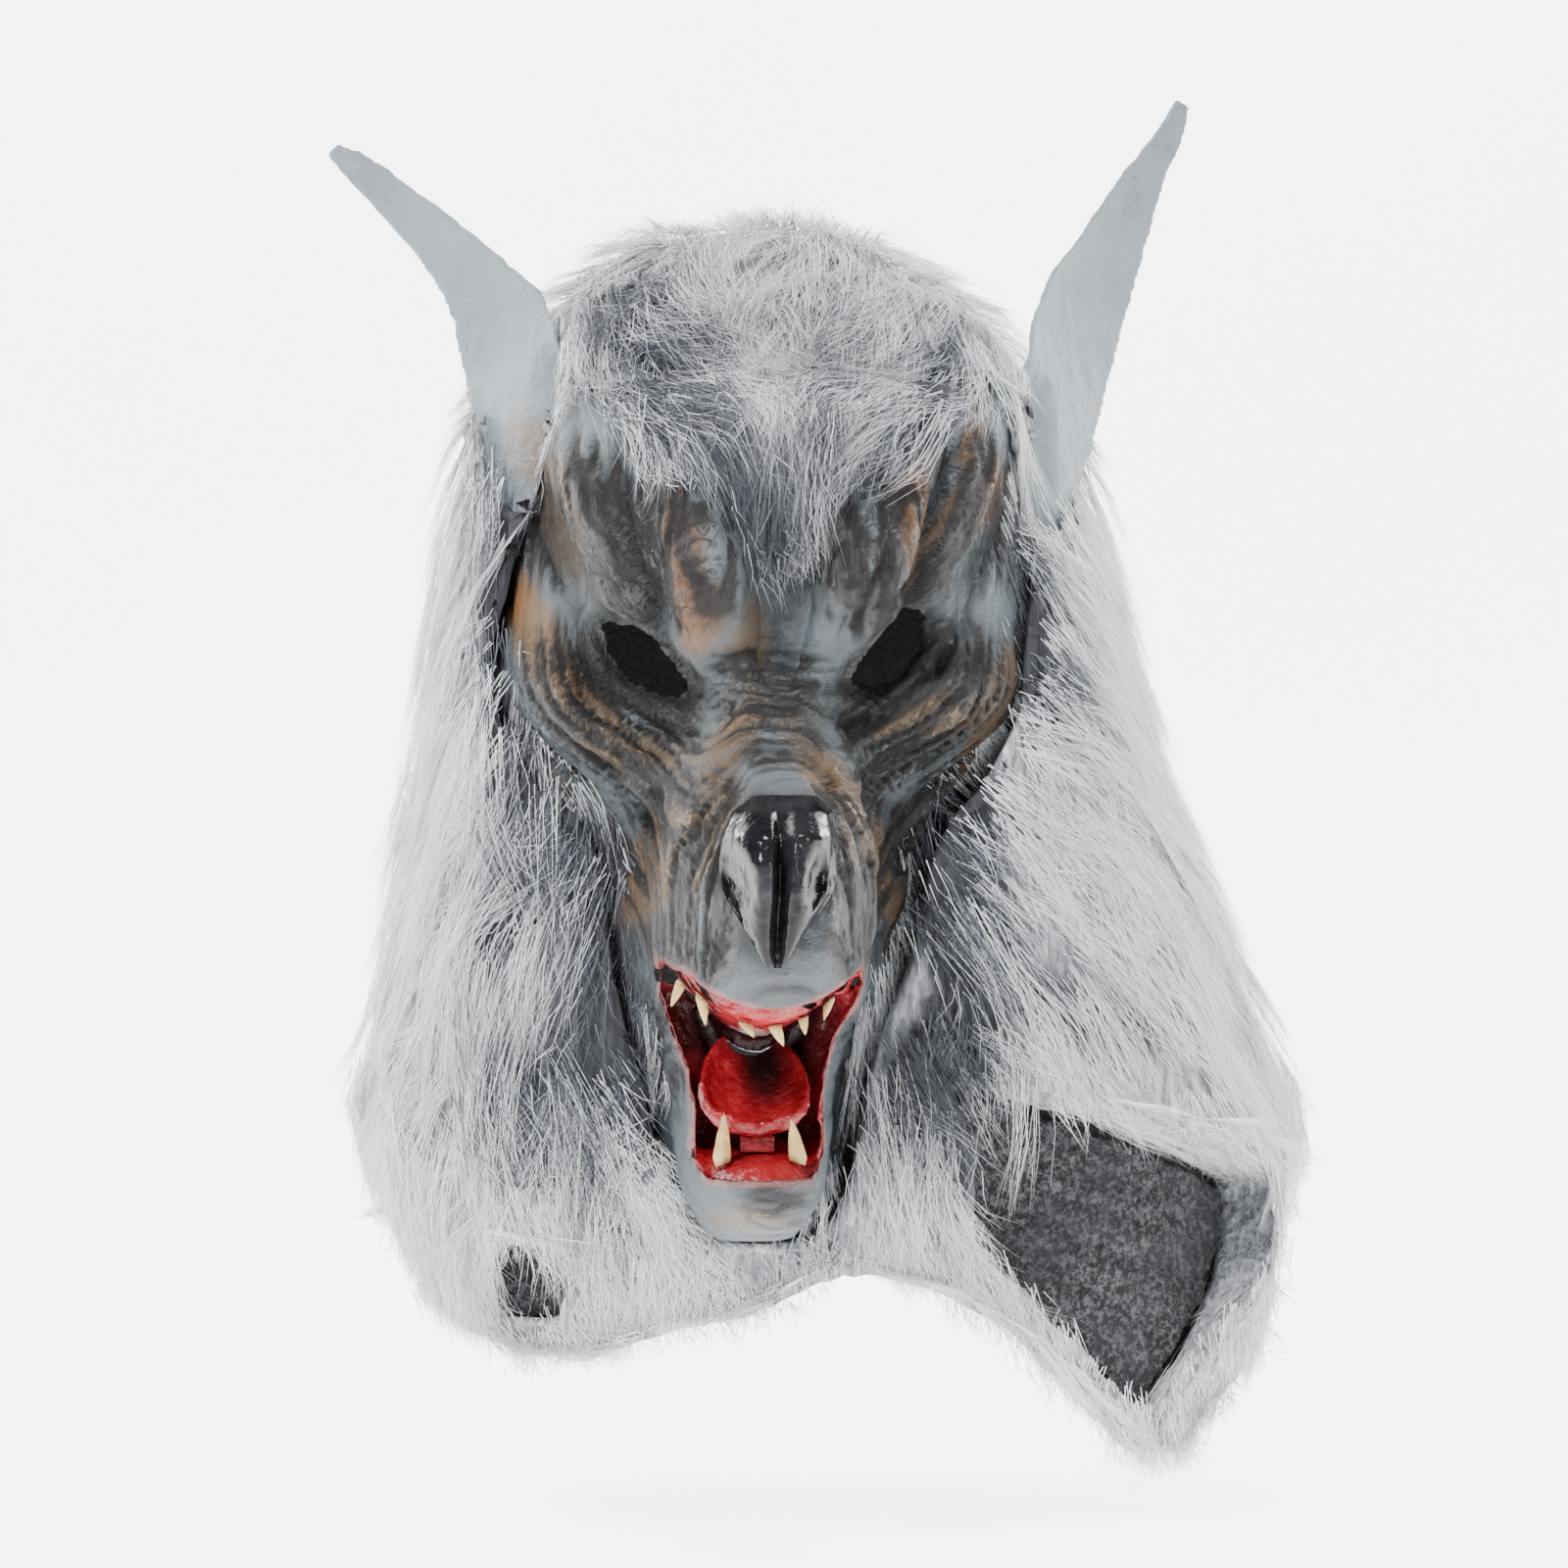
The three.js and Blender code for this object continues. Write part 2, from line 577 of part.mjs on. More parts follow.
// Closed geometry between two grids of points. A wrapped grid joins its ends.
function closedShell(outer, inner, wrapped) {
  const rows = outer.length;
  const columns = outer[0].length;
  const points = [...outer.flat(), ...inner.flat()];
  const innerStart = rows * columns;
  const faces = [];
  const at = (r, c) => r * columns + (c % columns);
  const quad = (a, b, c, d) => {
    faces.push(a, b, c, a, c, d);
  };
  const lastColumn = wrapped ? columns : columns - 1;
  for (let r = 0; r < rows - 1; r += 1) {
    for (let c = 0; c < lastColumn; c += 1) {
      quad(at(r, c), at(r, c + 1), at(r + 1, c + 1), at(r + 1, c));
      quad(
        innerStart + at(r, c),
        innerStart + at(r + 1, c),
        innerStart + at(r + 1, c + 1),
        innerStart + at(r, c + 1),
      );
    }
  }
  for (let c = 0; c < lastColumn; c += 1) {
    quad(at(0, c + 1), at(0, c), innerStart + at(0, c), innerStart + at(0, c + 1));
    quad(
      at(rows - 1, c),
      at(rows - 1, c + 1),
      innerStart + at(rows - 1, c + 1),
      innerStart + at(rows - 1, c),
    );
  }
  if (!wrapped) {
    for (let r = 0; r < rows - 1; r += 1) {
      quad(at(r, 0), at(r + 1, 0), innerStart + at(r + 1, 0), innerStart + at(r, 0));
      quad(
        at(r + 1, columns - 1),
        at(r, columns - 1),
        innerStart + at(r, columns - 1),
        innerStart + at(r + 1, columns - 1),
      );
    }
  }
  return indexed(points, faces);
}

function indexed(points, faces) {
  const geometry = new THREE.BufferGeometry();
  geometry.setAttribute(
    'position',
    new THREE.Float32BufferAttribute(points.flatMap((p) => [p.x, p.y, p.z]), 3),
  );
  geometry.setIndex(faces);
  return geometry;
}

// Welded solid with its faces pointing out
function solidOf(source) {
  const plain = source.clone();
  plain.deleteAttribute('normal');
  plain.deleteAttribute('uv');
  const geometry = mergeVertices(plain, weldStep);
  const index = geometry.index.array;
  const place = geometry.attributes.position;
  const a = new THREE.Vector3();
  const b = new THREE.Vector3();
  const c = new THREE.Vector3();
  let volume = 0;
  const kept = [];
  for (let i = 0; i < index.length; i += 3) {
    const [p, q, r] = [index[i], index[i + 1], index[i + 2]];
    if (p !== q && q !== r && p !== r) {
      kept.push([p, q, r]);
      a.fromBufferAttribute(place, p);
      b.fromBufferAttribute(place, q);
      c.fromBufferAttribute(place, r);
      volume += a.dot(b.cross(c));
    }
  }
  const turned = kept.flatMap(([p, q, r]) => (volume > 0 ? [p, q, r] : [p, r, q]));
  return new wasm.Manifold(new wasm.Mesh({
    numProp: 3,
    vertProperties: new Float32Array(place.array),
    triVerts: new Uint32Array(turned),
  }));
}

function geometryOf(solid) {
  const mesh = solid.getMesh();
  const geometry = new THREE.BufferGeometry();
  const places = new Float32Array(mesh.vertProperties);
  geometry.setAttribute('position', new THREE.BufferAttribute(places, 3));
  geometry.setIndex([...mesh.triVerts]);
  return geometry;
}

// The main body of a solid, without crumbs that a cut leaves
function mainBody(solid) {
  const bodies = solid.decompose();
  return bodies.reduce((best, body) => (body.volume() > best.volume() ? body : best));
}

// Straight prism along Y over an outline of x and z
function prismAlongY(outline, front, back) {
  const shape = new THREE.Shape(outline.map((p) => new THREE.Vector2(p.x, p.z)));
  const geometry = new THREE.ExtrudeGeometry(shape, {
    depth: back - front,
    bevelEnabled: false,
  });
  geometry.rotateX(Math.PI / 2);
  geometry.translate(0, back, 0);
  return solidOf(geometry);
}

// Hood at a distance from its surface, filled down to its hem
function filledHood(out, below) {
  const grid = [];
  const rowCount = hoodRows.length - 1;
  for (let r = 0; r <= rowCount; r += 1) {
    const line = [];
    for (let c = 0; c < hoodSides; c += 1) {
      line.push(hoodRaised((c * 360) / hoodSides - 180, r, out));
    }
    grid.push(line);
  }
  const skirt = grid[rowCount].map((p) => p.clone().setZ(p.z - below));
  grid.push(skirt);
  const floor = skirt.reduce((sum, p) => sum + p.z, 0) / hoodSides;
  const points = [...grid.flat(), new THREE.Vector3(0, 0, floor)];
  const faces = [];
  const last = grid.length - 1;
  for (let r = 0; r < last; r += 1) {
    for (let c = 0; c < hoodSides; c += 1) {
      const next = (c + 1) % hoodSides;
      const a = r * hoodSides + c;
      const b = r * hoodSides + next;
      const d = (r + 1) * hoodSides + c;
      const e = (r + 1) * hoodSides + next;
      faces.push(a, b, e, a, e, d);
    }
  }
  for (let c = 0; c < hoodSides; c += 1) {
    faces.push(points.length - 1, last * hoodSides + c, last * hoodSides + ((c + 1) % hoodSides));
  }
  return solidOf(indexed(points, faces));
}

// Outline of the face in x and z, moved outward by a margin
function faceOutline(margin) {
  const steps = faceRows.length - 1;
  const lefts = [];
  const rights = [];
  for (let n = 0; n <= steps; n += 1) {
    const row = n;
    const z = atRow(faceRows, 'z', row);
    lefts.push({ x: atRow(faceRows, 'left', row) - margin, z });
    rights.push({ x: atRow(faceRows, 'right', row) + margin, z });
  }
  for (const side of [lefts, rights]) {
    side[0].z += margin;
    side[side.length - 1].z -= margin;
  }
  return [...lefts, ...rights.reverse()];
}

// Level of the upper lip's edge, which rises toward the corners
function lipLevel(x) {
  const share = Math.min(1, Math.abs(x / mouthHalf - lipMiddle) / lipHalf);
  return level(lipDown - lipRise * share ** 2.2);
}

// Outline of the mouth in x and z, under the curve of the upper lip
function mouthOutline() {
  const lefts = mouthRows.map((row) => ({ x: row.left, z: row.z }));
  const rights = mouthRows.map((row) => ({ x: row.right, z: row.z })).reverse();
  const first = mouthRows[0];
  const last = mouthRows[mouthRows.length - 1];
  const floor = [];
  for (let n = 1; n < 4; n += 1) {
    floor.push({ x: mix(last.left, last.right, n / 4), z: last.z });
  }
  const top = [];
  const steps = 8;
  for (let n = 1; n < steps; n += 1) {
    const x = mix(first.right, first.left, n / steps);
    top.push({ x, z: Math.min(first.z, lipLevel(x)) });
  }
  return [...lefts, ...floor, ...rights, ...top];
}

function eyeShape(eye) {
  return eyeOutline.map((p) => ({
    x: eye.x * faceHalf + eye.side * p.across * eye.width,
    z: level(eye.down) + p.up,
  }));
}

// Face shell before its openings, at a distance in front of its true place
function faceSolid() {
  const outer = [];
  const inner = [];
  const lastRow = faceRows.length - 1;
  for (let n = 0; n <= lastRow * rowSteps; n += 1) {
    const row = n / rowSteps;
    const places = facePlaces(row, faceColumns);
    const surface = (x, r) => {
      const clamped = Math.min(lastRow, Math.max(0, r));
      return new THREE.Vector3(x, faceDepth(clamped, x), atRow(faceRows, 'z', clamped));
    };
    const outerLine = [];
    const innerLine = [];
    places.forEach((x, k) => {
      const point = surface(x, row);
      outerLine.push(point);
      const xa = places[Math.max(0, k - 1)];
      const xb = places[Math.min(faceColumns, k + 1)];
      const across = surface(xb, row).sub(surface(xa, row));
      const down = surface(x, row + 0.25).sub(surface(x, row - 0.25));
      const normal = across.cross(down).normalize();
      normal.multiplyScalar(normal.y > 0 ? latexWall : -latexWall);
      const back = point.clone().add(normal);
      back.z = mix(point.z, back.z, n === 0 || n === lastRow * rowSteps ? 0 : 1);
      innerLine.push(back);
    });
    outer.push(outerLine);
    inner.push(innerLine);
  }
  return solidOf(closedShell(outer, inner, false));
}

// Ear, grown on every side by a margin and in front by a distance kept free of fur
function earSolid(rows, margin, clear) {
  const sections = (rows.length - 1) * 1.5;
  const front = [];
  const back = [];
  for (let n = 0; n <= sections; n += 1) {
    const row = n / 1.5;
    const at = (column) => atRow(rows, column, row);
    const inner = new THREE.Vector3(at('inX'), at('inY'), at('inZ'));
    const outer = new THREE.Vector3(at('outX'), at('outY'), at('outZ'));
    const across = outer.clone().sub(inner);
    const width = across.length();
    across.normalize();
    const next = Math.min(rows.length - 1, row + 0.1);
    const prior = Math.max(0, row - 0.1);
    const down = new THREE.Vector3(
      atRow(rows, 'inX', next) + atRow(rows, 'outX', next) - atRow(rows, 'inX', prior) - atRow(rows, 'outX', prior),
      atRow(rows, 'inY', next) + atRow(rows, 'outY', next) - atRow(rows, 'inY', prior) - atRow(rows, 'outY', prior),
      atRow(rows, 'inZ', next) + atRow(rows, 'outZ', next) - atRow(rows, 'inZ', prior) - atRow(rows, 'outZ', prior),
    ).normalize();
    const behind = across.clone().cross(down).normalize();
    behind.multiplyScalar(behind.y > 0 ? 1 : -1);
    const cup = 1 - (n / sections) ** earCupFade;
    const frontLine = [];
    const backLine = [];
    for (let k = 0; k <= earColumns; k += 1) {
      const t = k / earColumns;
      const bow = 4 * t * (1 - t);
      const middle = inner.clone().lerp(outer, t);
      middle.addScaledVector(across, (t - 0.5) * 2 * margin);
      middle.addScaledVector(behind, bow * width * earCup * cup);
      const thick = earWall * (0.35 + 0.65 * bow) * 0.5 + margin;
      const near = middle.clone().addScaledVector(behind, -thick);
      near.y -= clear;
      frontLine.push(near);
      backLine.push(middle.clone().addScaledVector(behind, thick));
    }
    front.push(frontLine);
    back.push(backLine);
  }
  const tip = new THREE.Vector3(0, 0, margin);
  [front[0], back[0]].forEach((line) => line.forEach((p) => p.add(tip)));
  return solidOf(closedShell(front, back, false));
}

// Saw of locks across a width: 1 at the middle of a lock, 0 in the parting
function lockWave(distance, level) {
  const phase = distance / lockPitch + 0.37 * Math.sin(level * 1.7);
  const part = phase - Math.floor(phase);
  return 1 - Math.abs(2 * part - 1) ** 1.5;
}

// Depth of the fur at a place on the hood
function pileDepth(turn, row, point) {
  const toRight = Math.max(0, Math.sin(radians(turn)));
  const deep = along(pileRows, 'z', 'deep', point.z) + toRight * along(pileRows, 'z', 'right', point.z);
  const girth = radians(turn) * (30 + 8 * Math.min(row, 9));
  const wave = row === 0 ? 0.8 : lockWave(girth, row);
  const tier = (row * 1.15 + 0.5 * wave) % 1;
  const relief = 1 - lockRelief * (1 - 0.6 * wave - 0.4 * tier);
  return deep * relief;
}

function furSolid(section) {
  const outer = [];
  const inner = [];
  const full = section.to - section.from === 360;
  const seam = full ? 0 : furSeam / 2;
  const count = full ? section.columns : section.columns + 1;
  for (let r = 0; r <= section.rows; r += 1) {
    const outerLine = [];
    const innerLine = [];
    for (let c = 0; c < count; c += 1) {
      const turn = mix(section.from + seam, section.to - seam, c / section.columns);
      const row = mix(section.top, section.bottom, r / section.rows);
      const seat = hoodRaised(turn, row, -furRoot);
      const here = hoodPoint(turn, row);
      const top = hoodRaised(turn, row, pileDepth(turn, row, here));
      if (r === 0 && section.top > 0) {
        top.z -= furSeam;
        seat.z -= furSeam;
      }
      if (r === section.rows && section.bottom === hoodRows.length - 1) {
        const wave = lockWave(radians(turn) * 100, 0);
        top.z -= lockTip * (0.6 + wave);
        seat.z -= lockTip * 0.4;
        top.lerp(new THREE.Vector3(seat.x, seat.y, top.z), 0.45);
      }
      outerLine.push(top);
      innerLine.push(seat);
    }
    outer.push(outerLine);
    inner.push(innerLine);
  }
  return solidOf(closedShell(outer, inner, full));
}

// Patch between two distances from the hood, grown at its edges by a margin
function patchSolid(patch, low, high, margin) {
  const [a, b, c, d] = patch.corners;
  const outer = [];
  const inner = [];
  for (let i = 0; i <= patchSteps; i += 1) {
    const outerLine = [];
    const innerLine = [];
    for (let j = 0; j <= patchSteps; j += 1) {
      const s = mix(-margin, 1 + margin, j / patchSteps);
      const t = mix(-margin, 1 + margin, i / patchSteps);
      const turn = mix(mix(a.turn, b.turn, s), mix(d.turn, c.turn, s), t);
      const z = mix(mix(a.z, b.z, s), mix(d.z, c.z, s), t);
      const row = hoodRowAt(turn, z);
      innerLine.push(hoodRaised(turn, row, low));
      outerLine.push(hoodRaised(turn, row, high));
    }
    outer.push(outerLine);
    inner.push(innerLine);
  }
  return solidOf(closedShell(outer, inner, false));
}

// Depth of the face at a place given by x and z
function faceDepthAt(x, z) {
  let low = 0;
  let high = faceRows.length - 1;
  for (let n = 0; n < 30; n += 1) {
    const middle = (low + high) / 2;
    if (atRow(faceRows, 'z', middle) > z) {
      low = middle;
    } else {
      high = middle;
    }
  }
  return faceDepth(low, x);
}

// Nose: two lobes with a groove between, on the front of the snout
function noseSolid() {
  const front = [];
  const back = [];
  const rows = 8;
  const columns = 10;
  for (let r = 0; r <= rows; r += 1) {
    const row = mix(0, noseRows.length - 1, r / rows);
    const z = atRow(noseRows, 'z', row);
    const middle = atRow(noseRows, 'middle', row);
    const half = atRow(noseRows, 'half', row);
    const out = atRow(noseRows, 'out', row);
    const frontLine = [];
    const backLine = [];
    for (let c = 0; c <= columns; c += 1) {
      const t = (2 * c) / columns - 1;
      const x = middle + half * t;
      const round = Math.sqrt(Math.max(0, 1 - Math.abs(t) ** 2.4));
      const ends = Math.sin((Math.PI * (r + 0.8)) / (rows + 1.6)) ** 0.5;
      let rise = out * round * ends;
      rise -= noseGroove * Math.exp(-((t * half / 2.2) ** 2)) * ends * round;
      for (const nostril of nostrils) {
        const dx = (x - nostril.x) / nostril.wide;
        const dz = (z - nostril.z) / nostril.tall;
        rise -= nostril.deep * Math.exp(-dx * dx - dz * dz) * round;
      }
      const seat = faceDepthAt(x, z);
      frontLine.push(new THREE.Vector3(x, seat - 1.2 - Math.max(0.4, rise), z));
      backLine.push(new THREE.Vector3(x, seat + 0.6, z));
    }
    front.push(frontLine);
    back.push(backLine);
  }
  return solidOf(closedShell(front, back, false));
}

function forelockSolid() {
  const front = [];
  const back = [];
  const rows = 6;
  const columns = 16;
  const first = forelockRows[0];
  const last = forelockRows[forelockRows.length - 1];
  for (let r = 0; r <= rows; r += 1) {
    const frontLine = [];
    const backLine = [];
    for (let c = 0; c <= columns; c += 1) {
      const x = mix(first.x, last.x, c / columns);
      const zigzag = c % 2 === 0 ? forelockZigzag : -forelockZigzag;
      const tip = along(forelockRows, 'x', 'z', x) + zigzag;
      const z = mix(level(forelockTop), tip, r / rows);
      const seat = faceDepthAt(x, z);
      const thick = forelockWall * (0.25 + 0.75 * Math.sin(Math.PI * (0.35 + (0.65 * r) / rows)));
      const relief = c % 2 === 0 ? 0.7 : 1;
      frontLine.push(new THREE.Vector3(x, seat - forelockGap - thick * relief, z));
      backLine.push(new THREE.Vector3(x, seat - forelockGap, z));
    }
    front.push(frontLine);
    back.push(backLine);
  }
  return solidOf(closedShell(front, back, false));
}

// Pocket behind the lips, open at the front, with a small breathing hole
function liningSolid() {
  const outline = mouthOutline();
  const centre = new THREE.Vector3(tongueX, 0, liningMiddle);
  const loopAt = (share, inset, deep) => {
    const line = [];
    for (const p of outline) {
      const arm = new THREE.Vector3(p.x, 0, p.z).sub(centre);
      const length = arm.length();
      arm.setLength(length * share - inset);
      const start = Math.min(liningBack - liningLeast, faceDepthAt(p.x, p.z) + liningRecess);
      line.push(new THREE.Vector3(centre.x + arm.x, mix(start, liningBack, deep), centre.z + arm.z));
    }
    return line;
  };
  const edge = liningInset;
  const outer = [
    loopAt(1, edge, 0),
    loopAt(mix(1, liningNarrow, 0.4), edge, 0.5),
    loopAt(liningNarrow, edge, 1),
    loopAt(breathHole, 0, 1),
  ];
  const inner = [
    loopAt(1, edge + liningWall, 0),
    loopAt(mix(1, liningNarrow, 0.4), edge + liningWall, 0.5),
    loopAt(liningNarrow, edge + liningWall, 1 - 0.07),
    loopAt(breathHole, 0, 1 - 0.07),
  ];
  return solidOf(closedShell(outer, inner, true));
}

function tongueSolid() {
  const top = [];
  const under = [];
  const columns = 6;
  const rows = (tongueRows.length - 1) * 2;
  for (let r = 0; r <= rows; r += 1) {
    const row = r / 2;
    const at = (column) => atRow(tongueRows, column, row);
    const topLine = [];
    const underLine = [];
    for (let c = 0; c <= columns; c += 1) {
      const t = (2 * c) / columns - 1;
      const lift = at('rim') * t * t;
      const x = tongueX + at('half') * Math.sin((t * Math.PI) / 2.2) / Math.sin(Math.PI / 2.2);
      topLine.push(new THREE.Vector3(x, at('y'), at('z') + lift));
      underLine.push(new THREE.Vector3(
        x + t * tongueWall * 0.45,
        at('y') + 0.5,
        at('z') + lift - tongueWall * (1 - 0.3 * t * t),
      ));
    }
    top.push(topLine);
    under.push(underLine);
  }
  return solidOf(closedShell(top, under, false));
}

// Strip of skin that ties the tongue to the lower lip
function strapSolid() {
  const shape = new THREE.Shape();
  shape.moveTo(-strapWidth * 0.5, 0);
  shape.lineTo(-strapWidth * 0.28, strapDepth);
  shape.lineTo(strapWidth * 0.28, strapDepth);
  shape.lineTo(strapWidth * 0.5, 0);
  const geometry = new THREE.ExtrudeGeometry(shape, { depth: strapHeight, bevelEnabled: false });
  geometry.rotateX(radians(-10));
  const tip = tongueRows[tongueRows.length - 1];
  const foot = mouthRows[mouthRows.length - 1];
  geometry.translate(tongueX, tip.y + 2.5, foot.z + 2.5);
  return solidOf(geometry);
}

// Tooth on the roof or the floor of the lining, trimmed to sit just off it
function toothSolid(tooth, pocket) {
  const x = tooth.x * mouthHalf;
  const edge = tooth.upper ? lipLevel(x) : mouthRows[mouthRows.length - 1].z;
  const front = faceDepthAt(x, edge) + liningRecess;
  const y = mix(front, liningBack, tooth.deep);
  const up = tooth.upper ? 1 : -1;
  const ray = new THREE.Raycaster(
    new THREE.Vector3(x, y, liningMiddle),
    new THREE.Vector3(0, 0, up),
  );
  const target = new THREE.Mesh(geometryOf(pocket), new THREE.MeshStandardMaterial());
  const hit = ray.intersectObject(target)[0];
  const seat = hit ? hit.point.z : edge;
  const solid = solidOf(toothGeometry(tooth, x, y, seat + up * toothSink));
  const around = [[0, 0, -up], [0, 1, -up], [1, 0, 0], [-1, 0, 0], [0, -1, 0]];
  let trimmed = solid;
  for (const side of around) {
    const shift = side.map((way) => way * fitGap);
    trimmed = trimmed.subtract(pocket.translate(shift));
  }
  return mainBody(trimmed);
}

function toothGeometry(tooth, x, y, z) {
  const radius = tooth.thick / 2;
  const profile = [
    { reach: 0, out: 0 },
    { reach: 0.02, out: 0.7 },
    { reach: 0.2, out: 1 },
    { reach: 0.6, out: 0.68 },
    { reach: 0.94, out: 0.16 },
    { reach: 1, out: 0 },
  ];
  const points = profile.map((p) => new THREE.Vector2(p.out * radius, p.reach * tooth.length));
  const geometry = new THREE.LatheGeometry(points, 6);
  geometry.rotateX(Math.PI / 2);
  if (tooth.upper) {
    geometry.rotateX(Math.PI);
  }
  geometry.rotateY(radians(tooth.lean));
  geometry.translate(x, y, z);
  return geometry;
}

const mask = new THREE.Group();

function add(name, solid, finish) {
  const material = new THREE.MeshStandardMaterial(finishes[finish]);
  const mesh = new THREE.Mesh(geometryOf(solid), material);
  mesh.name = name;
  mask.add(mesh);
}

const hoodKeepOut = filledHood(fitGap, 60);
const furWindow = prismAlongY(faceOutline(windowGap), -cutReach, windowBack);
const clothWindow = prismAlongY(faceOutline(-windowFlange), -cutReach, 0);

const cloth = filledHood(0, 0).subtract(filledHood(-clothWall, 40)).subtract(clothWindow);
add('hood_backing', mainBody(cloth), 'knit');

const shell = faceSolid();
let face = shell.subtract(hoodKeepOut);
face = face.subtract(prismAlongY(mouthOutline(), -cutReach, liningBack));
for (const eye of eyes) {
  face = face.subtract(prismAlongY(eyeShape(eye), -cutReach, 0));
}
add('face_shell', mainBody(face), 'latex');

const earSlots = [];
for (const side of ['left', 'right']) {
  let ear = earSolid(earRows[side], 0, 0).subtract(hoodKeepOut);
  for (const away of [-fitGap, 0, fitGap]) {
    ear = ear.subtract(shell.translate([away, away === 0 ? fitGap : 0, 0]));
  }
  earSlots.push(earSolid(earRows[side], fitGap, 0), earSolid(earRows[side], fitGap, earClear));
  add(`ear_${side}`, mainBody(ear), 'latex');
}

const pockets = patches.map((patch) => patchSolid(patch, -6, 60, patchMargin / 10));
for (const section of furSections) {
  let fur = furSolid(section).subtract(hoodKeepOut).subtract(furWindow);
  for (const slot of [...earSlots, ...pockets]) {
    fur = fur.subtract(slot);
  }
  add(section.name, mainBody(fur), 'fur');
}

const faceCutter = shell.translate([0, -fitGap, 0]);
add('fur_forelock', mainBody(forelockSolid().subtract(faceCutter)), 'fur');
add('nose', mainBody(noseSolid().subtract(faceCutter)), 'nose');

for (const patch of patches) {
  const panel = patchSolid(patch, -furRoot, patchWall, 0).subtract(hoodKeepOut);
  add(patch.name, mainBody(panel), 'knit');
}

const lining = liningSolid();
const tongue = tongueSolid();
const strap = strapSolid()
  .subtract(lining.translate([0, 0, fitGap]))
  .subtract(tongue.translate([0, 0, -fitGap]));
add('mouth_lining', lining, 'red');
add('tongue', tongue, 'red');
add('tongue_strap', mainBody(strap), 'red');

for (const tooth of teeth) {
  add(tooth.name, toothSolid(tooth, lining), 'tooth');
}

export default mask;
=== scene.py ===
# %% [markdown]
# The object is an over-the-head wolf mask: a painted latex face with open jaws and two tall
# ears, set in a hood of long grey and white fur. This lesson dresses the plain solids of that
# mask. The solids come in first and stay where they are, because every piece is made on them.

# %% Load the solids of the mask
import itertools
import math

import bmesh
import bpy
import numpy as np
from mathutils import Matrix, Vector
from mathutils.bvhtree import BVHTree


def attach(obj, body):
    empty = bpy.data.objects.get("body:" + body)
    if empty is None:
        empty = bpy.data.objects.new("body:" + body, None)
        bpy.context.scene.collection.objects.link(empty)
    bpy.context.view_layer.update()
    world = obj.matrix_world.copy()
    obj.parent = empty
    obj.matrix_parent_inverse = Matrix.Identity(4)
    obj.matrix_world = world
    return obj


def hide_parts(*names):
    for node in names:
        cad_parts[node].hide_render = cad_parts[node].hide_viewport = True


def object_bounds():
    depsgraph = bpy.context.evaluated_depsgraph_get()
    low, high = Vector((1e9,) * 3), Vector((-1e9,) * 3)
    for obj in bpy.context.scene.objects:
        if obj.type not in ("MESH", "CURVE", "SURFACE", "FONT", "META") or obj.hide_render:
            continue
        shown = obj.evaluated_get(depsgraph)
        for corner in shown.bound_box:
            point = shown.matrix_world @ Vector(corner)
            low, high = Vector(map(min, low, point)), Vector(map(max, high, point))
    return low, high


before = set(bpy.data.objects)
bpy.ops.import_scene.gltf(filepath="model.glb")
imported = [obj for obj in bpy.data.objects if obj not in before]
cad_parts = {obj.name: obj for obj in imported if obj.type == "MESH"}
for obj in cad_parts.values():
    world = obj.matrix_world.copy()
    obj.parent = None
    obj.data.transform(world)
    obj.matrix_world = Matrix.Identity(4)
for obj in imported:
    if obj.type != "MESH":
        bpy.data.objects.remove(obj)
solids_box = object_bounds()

MM = 0.001
print("solids:", len(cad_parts), "from", solids_box[0], "to", solids_box[1])

# %% [markdown]
# A product picture is taken from a few steps away with a long lens, so that near and far parts
# keep their sizes. The camera stands a little to the left of the mask's middle, level with
# the bridge of its nose, and looks straight ahead.

# %% Camera
CAMERA_AT = Vector((-0.1096, -1.896, -0.1415))
CAMERA_AIM = Vector((0.0095, -0.050, -0.1415))
CAMERA_LENS = 143.5
SENSOR_WIDE = 36


def set_up_camera():
    lens = bpy.data.cameras.new("camera")
    lens.lens = CAMERA_LENS
    lens.sensor_width = SENSOR_WIDE
    lens.clip_start = 0.05
    lens.clip_end = 50
    camera = bpy.data.objects.new("camera", lens)
    bpy.context.scene.collection.objects.link(camera)
    camera.location = CAMERA_AT
    camera.rotation_euler = (CAMERA_AIM - CAMERA_AT).to_track_quat("-Z", "Y").to_euler()
    bpy.context.scene.camera = camera
    return camera


set_up_camera()
print("camera lens:", CAMERA_LENS, "mm")

# %% [markdown]
# A white, furry thing needs light from all round, or its hair turns into hard black lines.
# Large lamps give that: a strong one in front on the left, a weak one in front on the right,
# one above and two behind, in a dim white room.

# %% Lamps and room
# Each lamp: where it stands in metres, how wide it is, and its power in watts
LAMPS = {
    "key": {"at": (-1.1, -1.5, 1.3), "wide": 0.5, "power": 84},
    "fill": {"at": (1.7, -1.5, 0.2), "wide": 0.6, "power": 20},
    "top": {"at": (0.1, -0.5, 1.6), "wide": 0.6, "power": 46},
    "rim_left": {"at": (-1.2, 0.9, 0.5), "wide": 0.6, "power": 20},
    "rim_right": {"at": (1.3, 0.9, 0.5), "wide": 0.6, "power": 20},
}
LAMPS_AIM = Vector((0.01, -0.03, -0.13))
ROOM_STRENGTH = 0.2


